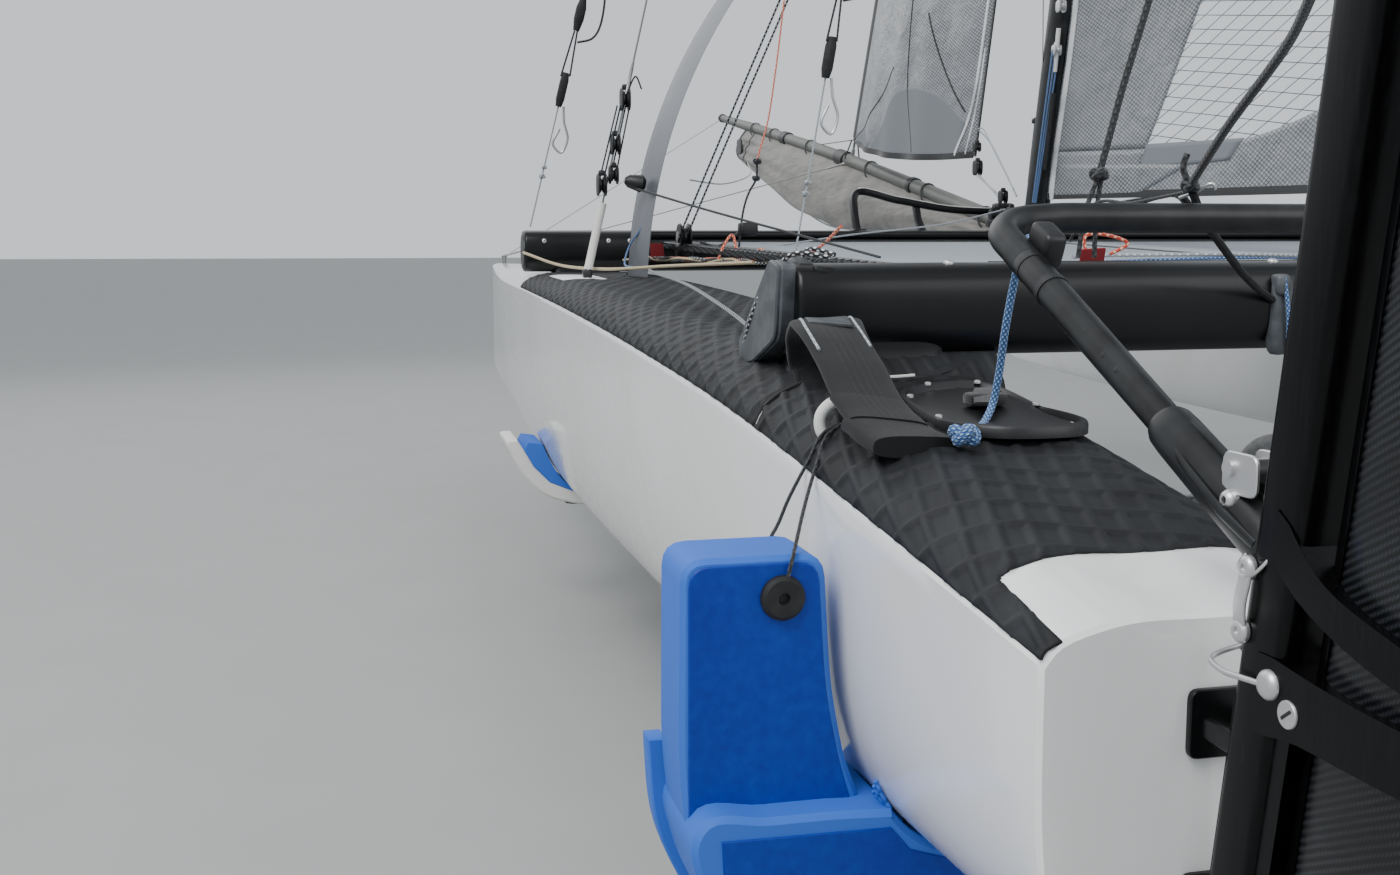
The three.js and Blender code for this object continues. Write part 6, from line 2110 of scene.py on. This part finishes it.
def make_cords():
    """The ropes and shock cords, on port where the photograph shows them, with their tags and blocks."""
    sizes = bpy.context.scene.catamaran_sizes
    for name, (kind, share, points) in ROPES.items():
        made = cord_shape(points, sizes.rope * share, 14 * len(points))
        piece(name, made, kind, body="mainsail" if name.startswith("sheet_fall") else "root", slot="wire")
    first, second = np.array((2.86, 1.262, 0.985)), np.array((1.98, 1.105, 0.979))
    for i, (kind, out, phase) in enumerate(BUNDLE):
        path = waved(first + (0, out, 0), second + (0, 0.5 * out, 0.002), 0.016, phase)
        piece(
            f"bundle_{i}", sweep(path, oval(sizes.rope / 2, sizes.rope / 2, 1, 8), UP), kind, slot="wire"
        )
    return_line = cord_shape([(0.5, 1.494, 0.812), (0.515, 1.51, 0.8)], sizes.rope * 0.65, 8)
    ring = turned(
        (0.3785, 1.599, 0.683), AHEAD,
        [
            (0.001, 0.0215), (-0.002, 0.0222), (-0.006, 0.0215), (-0.009, 0.018), (-0.0095, 0.01),
            (-0.009, 0.006), (-0.004, 0.005)
        ],
        36
    )
    both("cradle_disc", ring, black_rubber, slot="blue_plastic")
    piece("cradle_line_end", return_line, black_rope)
    wheel = turned(
        (2.77, 1.15, 1.045), PORT,
        [(0, 0.034), (0.005, 0.036), (0.012, 0.024), (0.018, 0.024), (0.025, 0.036), (0.03, 0.034)], 30
    )
    hub = turned((2.77, 1.146, 1.045), PORT, [(0, 0.004), (0, 0.014), (0.038, 0.014), (0.038, 0.004)], 16)
    stand = [
        block((2.77, 1.165, 1.01), (0.03, 0.022, 0.022), 0.5),
        block((2.4, 1.091, 1.06), (0.018, 0.022, 0.016), 0.3)
    ]
    piece("ratchet_block", [wheel, *stand], black_plastic)
    piece("ratchet_hub", hub, stainless)
    knots = [knot((2.45, 1.055, 1.222), 0.015), knot((2.45, 1.058, 1.182), 0.014)]
    piece("leader_knots", knots, black_rope)
    tags = [
        slab(
            rounded([(-0.02, -0.025), (0.02, -0.025), (0.018, 0.022), (-0.018, 0.025)], 0.004),
            (2.78, 1.235, 1.005), (0.2, -0.97, 0.1), (0.0, 0.1, 1), 0.002, 0.0005
        ),
        slab(
            rounded([(-0.019, -0.024), (0.019, -0.022), (0.019, 0.022), (-0.019, 0.022)], 0.003),
            (0.835, 1.04, 0.991), (0.1, -1, 0.05), (-0.35, 0.05, 1), 0.002, 0.0005
        )
    ]
    piece("red_tags", tags, red_cloth)
    fitting = [
        block((0.715, 0.838, 0.925), (0.01, 0.016, 0.05), 0.5),
        block((0.712, 0.842, 0.965), (0.012, 0.01, 0.014), 0.5)
    ]
    piece("grey_fitting", fitting, grey_plastic)
    piece(
        "grey_fitting_line",
        cord_shape(
            [(0.703, 0.842, 0.975), (0.7, 0.836, 0.93), (0.703, 0.832, 0.885)], sizes.rope * 0.9, 20
        ),
        blue_rope
    )
    piece("clew_block", small_block((1.01, 0.0, 1.08), 0.05), black_plastic, body="mainsail")
    piece("sheet_block", small_block((0.79, 0.0, 1.03), 0.055), black_plastic)
    thick = sizes.cord
    left = [
        cord_shape(
            [
                (0.72, 1.095, 1.105), (0.715, 1.07, 1.21), (0.7, 1.045, 1.32), (1.2, 0.7, 3.2),
                on_mast(5.9, -0.02, 0.03)
            ],
            thick, 60
        ),
        knot((0.72, 1.096, 1.102), thick * 1.9),
        cord_shape([(0.72, 1.098, 1.095), (0.722, 1.11, 1.062), (0.725, 1.118, 1.0)], thick * 0.7, 14),
        cord_shape([(0.72, 1.093, 1.095), (0.722, 1.096, 1.062), (0.725, 1.096, 1.0)], thick * 0.7, 14)
    ]
    right = [
        cord_shape(
            [
                (0.5, 1.107, 1.08), (0.36, 1.16, 1.125), (0.16, 1.235, 1.18), (0.02, 1.31, 1.205),
                (-0.075, 1.352, 1.225)
            ],
            thick, 50
        ),
        knot((0.5, 1.108, 1.078), thick * 1.6),
        cord_shape([(0.5, 1.109, 1.078), (0.502, 1.116, 1.1), (0.5, 1.113, 1.112)], thick * 0.8, 12)
    ]
    low = cord_shape(
        [
            (0.5, 1.105, 1.072), (0.53, 1.075, 1.05), (0.6, 1.006, 1.02), (0.68, 0.9, 0.965),
            (0.712, 0.85, 0.945)
        ],
        thick * 1.05, 40
    )
    piece("shock_cords", [*left, *right], black_rope)
    piece("shock_cord_low", low, black_rubber)
    thin = [(0.735, 1.125, 1.02), (0.72, 1.11, 1.058), (0.62, 1.105, 1.064), (0.5, 1.104, 1.073)]
    piece("shock_tie", cord_shape(thin, thick * 0.45, 40), black_rope)
    piece(
        "shock_hook",
        cord_shape(
            [(0.52, 1.108, 1.066), (0.5, 1.1, 1.072), (0.485, 1.09, 1.079), (0.487, 1.086, 1.074)], 0.004,
            24
        ),
        stainless
    )
    path = curve(
        [
            (0.335, 1.372, 1.004), (0.352, 1.366, 1.02), (0.383, 1.358, 1.014), (0.41, 1.353, 0.98),
            (0.43, 1.352, 0.931), (0.448, 1.35, 0.88), (0.452, 1.354, 0.852), (0.438, 1.368, 0.838),
            (0.405, 1.394, 0.834), (0.368, 1.42, 0.832)
        ],
        90
    )
    tail = piece("blue_rope_tail", sweep(path, oval(0.004, 0.004, 1, 12)), blue_rope, body="port_rudder")
    end = piece(
        "blue_rope_knot", knot(path[-1] + (-0.006, 0.004, 0.003), 0.022), blue_rope, body="port_rudder"
    )
    there = path + (STERN, 0, 0)
    tuple(there[0])
    [tuple(p) for p in there]


# Beach dollies.

WHEEL_OUT = 0.9
AXLE_HEIGHT = 0.21
REAR_DOLLY_X = 0.45
FRONT_DOLLY_X = 3.08
CRADLE_OUTSIDE = [(0.0, 0.152), (0.08, 0.166), (0.17, 0.25), (0.284, 0.36), (0.309, 0.42), (0.318, 0.5)]
CRADLE_ARM = [
    (0.135, 0.47), (0.311, 0.44), (0.319, 0.52), (0.317, 0.723), (0.176, 0.723), (0.168, 0.59),
    (0.153, 0.515)
]
CRADLE_LEDGE = [(0.314, 0.466), (0.306, 0.478), (0.24, 0.479), (0.175, 0.479)]
FRONT_SHELL = [
    (0.0, 0.302), (0.06, 0.312), (0.13, 0.334), (0.19, 0.388), (0.226, 0.448), (0.24, 0.492),
    (0.212, 0.494)
]
# Each dolly: its name, its place along the boat, and half its axle's length.
DOLLIES = (("rear", REAR_DOLLY_X, 1.5), ("front", FRONT_DOLLY_X, 1.225))


def section_half(x, top, gap, count=30):
    """The hull's half section at x from a height down to the keel, moved out by a gap, as (out, z)."""
    out, z = section_points(station(x), np.pi / 2 * np.linspace(0, 1, 200))
    keep = z <= top
    line = np.stack([out[keep], z[keep]], -1)[::-1]
    run = unit(np.gradient(line, axis=0))
    grown = line + np.stack([-run[:, 1], run[:, 0]], -1) * gap
    grown[:, 0] = np.maximum(grown[:, 0], 0.0)
    return curve(grown, count)


def closed_half(outer, inner):
    """A closed symmetric outline from an outer half, from the bottom up, and an inner half, down."""
    half = np.concatenate([outer, inner])
    other = half[1:-1][::-1] * (-1, 1)
    return np.concatenate([half, other]) + (HULL_MIDDLE, 0)


def tyre_shape(x):
    """A balloon tyre: a squarish oval carried round the axle, with shallow rings on its tread."""
    a = np.linspace(0, 2 * np.pi, 96, endpoint=False)
    radial = np.stack([np.cos(a), 0 * a, np.sin(a)], -1)
    section = oval(0.0935, 0.058, 0.74, 48)
    tread = smooth_step(0.035, 0.05, section[:, 1])
    section[:, 1] += 0.0012 * tread * np.cos(2 * np.pi * section[:, 0] / 0.022)
    return sweep(np.array((x, WHEEL_OUT, AXLE_HEIGHT)) + 0.151 * radial, section, radial, loop=True)


def hub_shape(x):
    """A plastic wheel centre: collar, dished web, rim flanges, and eight ribs on each face."""
    rows = [
        (-0.078, 0.027), (-0.078, 0.044), (-0.044, 0.046), (-0.04, 0.078), (-0.062, 0.082),
        (-0.066, 0.096), (-0.056, 0.097), (-0.03, 0.089), (0.03, 0.089), (0.056, 0.097), (0.066, 0.096),
        (0.062, 0.082), (0.04, 0.078), (0.044, 0.046), (0.078, 0.044), (0.078, 0.027)
    ]
    middle = np.array((x, WHEEL_OUT, AXLE_HEIGHT))
    shapes = [turned(middle, PORT, rows, 48, ends=False)]
    for k in range(8):
        a = 2 * math.pi * k / 8
        way = np.array((math.cos(a), 0, math.sin(a)))
        for y in (-0.048, 0.048):
            shapes.append(block(
                middle + way * 0.062 + (0, y, 0), (0.019, 0.01, 0.0035), 0.4, way, PORT, 12
            ))
    return join(*shapes)


def make_dollies():
    """Axles with their collars and plugs, balloon wheels, blue rear cradles and white front ones."""
    for name, x, half in DOLLIES:
        axle = turned(
            (x, -half, AXLE_HEIGHT), PORT, [(0, 0.021), (0, 0.025), (2 * half, 0.025), (2 * half, 0.021)],
            28
        )
        collars = [
            turned(
                (x, s * (WHEEL_OUT + d) - 0.01, AXLE_HEIGHT), PORT,
                [(0, 0.0255), (0, 0.033), (0.02, 0.033), (0.02, 0.0255)], 24
            )
            for s in (1, -1) for d in (-0.095, 0.095)
        ]
        plugs = [
            turned(
                (x, s * half, AXLE_HEIGHT), (0, s, 0),
                [(-0.01, 0.0205), (0.004, 0.0255), (0.007, 0.022), (0.008, 0.004)], 24
            )
            for s in (1, -1)
        ]
        piece(f"{name}_axle_tube", axle, galvanised, replaces=[f"{name}_dolly_axle"])
        piece(f"{name}_axle_collars", [*collars, *plugs], black_plastic, slot="galvanised_tube")
        both(
            f"{name}_wheel_tyre", tyre_shape(x), tyre_rubber, body=f"{name}_wheel", sharp=60,
            replaces=[f"{name}_tyre"]
        )
        both(
            f"{name}_wheel_hub", hub_shape(x), hub_plastic, body=f"{name}_wheel", sharp=40,
            replaces=[f"{name}_hub"]
        )
        valve = turned(
            (x + 0.088, WHEEL_OUT + 0.062, AXLE_HEIGHT), PORT,
            [(0, 0.004), (0.014, 0.004), (0.018, 0.003)], 12
        )
        both(f"{name}_wheel_valve", valve, black_rubber, body=f"{name}_wheel", slot="balloon_tyre")
    arm = rounded(CRADLE_ARM, (0.012, 0.012, 0.035, 0.024, 0.024, 0.036, 0.02))
    ledge = closed_half(
        curve(CRADLE_OUTSIDE[:5] + CRADLE_LEDGE, 60), section_half(0.425, 0.477, 0.001, 30)
    )
    # face and low_face outline thin panels on the cradles' fore and aft faces, coloured a deeper blue as
    # painted shade.
    face = rounded(
        [(0.146, 0.468), (0.311, 0.468), (0.31, 0.716), (0.183, 0.716), (0.175, 0.59), (0.16, 0.515)],
        (0.003, 0.003, 0.02, 0.02, 0.03, 0.02)
    )
    low_face = closed_half(
        curve([(0.0, 0.176), (0.075, 0.189), (0.15, 0.258), (0.256, 0.364), (0.286, 0.425)], 30),
        np.array([(0.288, 0.462), (0.12, 0.46), (0.1, 0.436), (0.06, 0.423), (0.0, 0.417)])
    )
    outside = curve(CRADLE_OUTSIDE[2:] + [(0.318, 0.6)], 30)
    outside = outside[outside[:, 1] < 0.53]
    raise_out = 0.002 + 0.01 * smooth_step(0.53, 0.515, outside[:, 1])
    band = np.concatenate([outside + raise_out[:, None] * (1, 0), outside[::-1] - (0.006, 0)])
    shell = closed_half(
        curve(FRONT_SHELL, 36),
        np.array([(0.196, 0.468), (0.168, 0.418), (0.124, 0.372), (0.06, 0.345), (0.0, 0.336)])
    )
    body = [slab(ledge, (0.42, 0, 0), PORT, UP, 0.16, 0.006)]
    panels = [slab(low_face, (0.3395, 0, 0), PORT, UP, 0.003, 0.0012)]
    for s in (1, -1):
        for shape, x, thick, edge in (
            (face, 0.3795, 0.003, 0.0012), (face, 0.4765, 0.003, 0.0012), (arm, 0.428, 0.096, 0.005),
            (band, 0.495, 0.03, 0.002)
        ):
            corners = (shape if s > 0 else shape[::-1]) * (s, 1) + (HULL_MIDDLE, 0)
            made = slab(corners, (x, 0, 0), PORT, UP, thick, edge)
            (panels if thick < 0.01 else body).append(made)
    both("cradle_body", body, blue_plastic, sharp=40, replaces=["rear_cradle"])
    # Painted shade: the fore and aft faces of the rear cradles get a deeper blue than the rest of the
    # cradle.
    both("cradle_panels", panels, deep_blue_plastic, sharp=40)
    curls = []
    for k, x in enumerate((0.35, 0.357, 0.364, 0.372)):
        line = section_half(x, 0.505 - 0.006 * k, 0.003 + 0.002 * (k % 2), 40)[: 9 + 2 * (k % 3)]
        line = line + (HULL_MIDDLE, 0)
        wave = 0.001 * np.sin(np.arange(len(line)) * 2.4)
        curls.append(cord_shape(np.stack([x + wave, line[:, 0], line[:, 1]], -1), 0.0042, 40, 8))
    both("cradle_burrs", curls, blue_plastic, sharp=40)
    white = slab(shell, (FRONT_DOLLY_X, 0, 0), PORT, UP, 0.22, 0.005)
    both("front_shell", white, white_plastic, slot="white_plastic", sharp=40, replaces=["front_cradle"])
    pad = closed_half(
        np.array([
            (0.0, 0.337), (0.06, 0.346), (0.124, 0.373), (0.168, 0.419), (0.194, 0.464), (0.182, 0.486)
        ]),
        section_half(FRONT_DOLLY_X, 0.482, 0.004, 20)
    )
    both("cradle_pad", slab(pad, (FRONT_DOLLY_X, 0, 0), PORT, UP, 0.212, 0.0008), blue_plastic, sharp=40)
    bar = [
        block((FRONT_DOLLY_X, 1.2955, 0.309), (0.05, 0.16, 0.013), 0.3),
        block((FRONT_DOLLY_X, 1.17, 0.235), (0.045, 0.035, 0.066), 0.3)
    ]
    both("front_clamp", bar, anodised_black, slot="galvanised_tube")


# The stage, the camera and the lights.

LENS_MM = 36.23
FLOOR = 400
CAMERA_PLACE = (-0.88, 1.971, 1.011)
CAMERA_TURN = (13.07, 7.58, -0.16)


def make_camera():
    """A camera at the photograph's place: turned to starboard, tipped down and rolled, in degrees."""
    turn, tip, roll = (math.radians(a) for a in CAMERA_TURN)
    ahead = Vector((math.cos(turn) * math.cos(tip), -math.sin(turn) * math.cos(tip), -math.sin(tip)))
    right = Vector((-math.sin(turn), -math.cos(turn), 0))
    up = right.cross(ahead)
    right, up = right * math.cos(roll) + up * math.sin(roll), up * math.cos(roll) - right * math.sin(roll)
    data = bpy.data.cameras.new("Photo camera")
    data.sensor_width = 36
    data.lens = LENS_MM
    data.clip_start = 0.05
    data.clip_end = 200
    made = bpy.data.objects.new("Photo camera", data)
    bpy.context.scene.collection.objects.link(made)
    place = Vector(CAMERA_PLACE) + Vector((STERN, 0, 0))
    made.matrix_world = Matrix.LocRotScale(place, Matrix((right, up, -ahead)).transposed(), None)
    bpy.context.scene.camera = made


# Soft lights: name, place, aim, size and power.
LIGHTS = (
    ("Key", (-2.0, 6.0, 7.5), (0.8, 1.4, 0.6), 5.0, 700),
    ("Front fill", (9.0, 3.0, 6.0), (2.0, 0.5, 0.9), 7.0, 180),
    ("Rear fill", (-5.0, -3.0, 4.5), (0.3, 0.6, 0.8), 5.0, 180),
)


def make_stage():
    """A grey floor, an even pale surround, and three soft lights with the key to port and above."""
    floor = bpy.data.meshes.new("floor")
    points = np.array(
        [(-FLOOR, -FLOOR, 0), (FLOOR, -FLOOR, 0), (FLOOR, FLOOR, 0), (-FLOOR, FLOOR, 0)], float
    )
    floor.from_pydata(points.tolist(), [], [(0, 1, 2, 3)])
    floor.materials.append(studio_floor())
    made = bpy.data.objects.new("floor", floor)
    bpy.context.scene.collection.objects.link(made)
    world = bpy.data.worlds.new("Pale surround")
    bpy.context.scene.world = world
    world.use_nodes = True
    surround = world.node_tree.nodes["Background"]
    surround.inputs["Color"].default_value = linear("#e6ebf0")
    surround.inputs["Strength"].default_value = 1.05
    for name, place, aim, size, power in LIGHTS:
        data = bpy.data.lights.new(name, "AREA")
        data.energy = power
        data.size = size
        light = bpy.data.objects.new(name, data)
        bpy.context.scene.collection.objects.link(light)
        place = Vector(place) + Vector((STERN, 0, 0))
        aim = Vector(aim) + Vector((STERN, 0, 0))
        light.location = place
        light.rotation_euler = (aim - place).to_track_quat("-Z", "Y").to_euler()


# The add-on: its settings, one operator for each group, and the panel.


def colour_setting(name, code, words):
    """A colour setting with a default given as an sRGB hex code."""
    return FloatVectorProperty(
        name=name, description=words, subtype="COLOR", size=3, min=0, max=1, default=linear(code)[:3]
    )


class CatamaranColours(bpy.types.PropertyGroup):
    """The main colours."""

    hull: colour_setting("Hull", "#e9eae9", "Gelcoat of the hulls")
    deck: colour_setting("Deck pads", "#191a1c", "Foam of the deck pads")
    trampoline: colour_setting("Trampoline", "#a9acb2", "Mesh of the trampoline")
    sail: colour_setting("Sails", "#9a9da1", "Laminate of the sails")
    sock: colour_setting("Sock", "#6f6a62", "Cloth of the spinnaker sock")
    cradle: colour_setting("Cradles", "#0052cc", "Plastic of the rear cradles")


class CatamaranSizes(bpy.types.PropertyGroup):
    """Sizes that a user may change."""

    rope: FloatProperty(
        name="Rope", description="Thickness of the control ropes", subtype="DISTANCE", default=0.006,
        min=0.003, max=0.012,
    )
    cord: FloatProperty(
        name="Shock cord", description="Thickness of the black shock cords", subtype="DISTANCE",
        default=0.009, min=0.004, max=0.014,
    )


class CATAMARAN_OT_hulls(bpy.types.Operator):
    """Both hulls with their foam deck pads"""

    bl_idname = "catamaran.hulls"
    bl_label = "Hulls"
    bl_options = {"REGISTER", "UNDO"}

    def execute(self, context):
        make_hulls()
        return {"FINISHED"}


class CATAMARAN_OT_deck_fittings(bpy.types.Operator):
    """Hatches, foot straps and small deck fittings"""

    bl_idname = "catamaran.deck_fittings"
    bl_label = "Deck fittings"
    bl_options = {"REGISTER", "UNDO"}

    def execute(self, context):
        make_deck_fittings()
        return {"FINISHED"}


class CATAMARAN_OT_beams(bpy.types.Operator):
    """The front and rear beams with their end plates"""

    bl_idname = "catamaran.beams"
    bl_label = "Beams"
    bl_options = {"REGISTER", "UNDO"}

    def execute(self, context):
        make_beams()
        return {"FINISHED"}


class CATAMARAN_OT_trampoline(bpy.types.Operator):
    """The laced mesh between the hulls with its hems"""

    bl_idname = "catamaran.trampoline"
    bl_label = "Trampoline"
    bl_options = {"REGISTER", "UNDO"}

    def execute(self, context):
        make_trampoline()
        return {"FINISHED"}


class CATAMARAN_OT_rudders(bpy.types.Operator):
    """Rudder spines, casings and blades with their fittings"""

    bl_idname = "catamaran.rudders"
    bl_label = "Rudders"
    bl_options = {"REGISTER", "UNDO"}

    def execute(self, context):
        make_rudders()
        return {"FINISHED"}


class CATAMARAN_OT_tillers(bpy.types.Operator):
    """Tiller arms, their joints and the crossbar"""

    bl_idname = "catamaran.tillers"
    bl_label = "Tillers"
    bl_options = {"REGISTER", "UNDO"}

    def execute(self, context):
        make_tillers()
        return {"FINISHED"}


class CATAMARAN_OT_boards(bpy.types.Operator):
    """Both curved daggerboards"""

    bl_idname = "catamaran.boards"
    bl_label = "Daggerboards"
    bl_options = {"REGISTER", "UNDO"}

    def execute(self, context):
        make_boards()
        return {"FINISHED"}


class CATAMARAN_OT_mast(bpy.types.Operator):
    """Mast, spreaders and the fittings at its foot"""

    bl_idname = "catamaran.mast"
    bl_label = "Mast"
    bl_options = {"REGISTER", "UNDO"}

    def execute(self, context):
        make_mast()
        return {"FINISHED"}


class CATAMARAN_OT_sails(bpy.types.Operator):
    """Mainsail with its window, and jib, with tapes and clew fittings"""

    bl_idname = "catamaran.sails"
    bl_label = "Sails"
    bl_options = {"REGISTER", "UNDO"}

    def execute(self, context):
        make_sails()
        return {"FINISHED"}


class CATAMARAN_OT_pole(bpy.types.Operator):
    """Pole, sock, tip lines and the jib track"""

    bl_idname = "catamaran.pole"
    bl_label = "Spinnaker pole"
    bl_options = {"REGISTER", "UNDO"}

    def execute(self, context):
        make_pole()
        return {"FINISHED"}


class CATAMARAN_OT_rigging(bpy.types.Operator):
    """Stays, bridles, trapezes and the shrouds' adjusters"""

    bl_idname = "catamaran.rigging"
    bl_label = "Rigging"
    bl_options = {"REGISTER", "UNDO"}

    def execute(self, context):
        make_rigging()
        return {"FINISHED"}


class CATAMARAN_OT_cords(bpy.types.Operator):
    """Ropes, shock cords, their blocks, and the free tail of one rope"""

    bl_idname = "catamaran.cords"
    bl_label = "Cords"
    bl_options = {"REGISTER", "UNDO"}

    def execute(self, context):
        make_cords()
        return {"FINISHED"}


class CATAMARAN_OT_dollies(bpy.types.Operator):
    """Axles, wheels and cradles of both dollies"""

    bl_idname = "catamaran.dollies"
    bl_label = "Dollies"
    bl_options = {"REGISTER", "UNDO"}

    def execute(self, context):
        make_dollies()
        return {"FINISHED"}


class CATAMARAN_OT_stage(bpy.types.Operator):
    """Floor, lights and camera"""

    bl_idname = "catamaran.stage"
    bl_label = "Stage"
    bl_options = {"REGISTER", "UNDO"}

    def execute(self, context):
        make_stage()
        make_camera()
        return {"FINISHED"}


GROUPS = (
    CATAMARAN_OT_stage,
    CATAMARAN_OT_hulls,
    CATAMARAN_OT_deck_fittings,
    CATAMARAN_OT_beams,
    CATAMARAN_OT_trampoline,
    CATAMARAN_OT_rudders,
    CATAMARAN_OT_tillers,
    CATAMARAN_OT_boards,
    CATAMARAN_OT_mast,
    CATAMARAN_OT_sails,
    CATAMARAN_OT_pole,
    CATAMARAN_OT_rigging,
    CATAMARAN_OT_cords,
    CATAMARAN_OT_dollies,
)


class CATAMARAN_PT_parts(bpy.types.Panel):
    """Lists the groups and the settings in the sidebar"""

    bl_label = "Catamaran"
    bl_idname = "CATAMARAN_PT_parts"
    bl_space_type = "VIEW_3D"
    bl_region_type = "UI"
    bl_category = "Catamaran"

    def draw(self, context):
        for settings in (context.scene.catamaran_colours, context.scene.catamaran_sizes):
            for name in settings.__annotations__:
                self.layout.prop(settings, name)
        for group in GROUPS:
            self.layout.operator(group.bl_idname)


CLASSES = (CatamaranColours, CatamaranSizes, *GROUPS, CATAMARAN_PT_parts)


def register():
    for made in CLASSES:
        bpy.utils.register_class(made)
    bpy.types.Scene.catamaran_colours = PointerProperty(type=CatamaranColours)
    bpy.types.Scene.catamaran_sizes = PointerProperty(type=CatamaranSizes)


def unregister():
    del bpy.types.Scene.catamaran_sizes
    del bpy.types.Scene.catamaran_colours
    for made in reversed(CLASSES):
        bpy.utils.unregister_class(made)


def main():
    """Makes every group."""
    register()
    for group in GROUPS:
        words = group.bl_idname.split(".")
        getattr(getattr(bpy.ops, words[0]), words[1])()


if __name__ == "__main__":
    main()
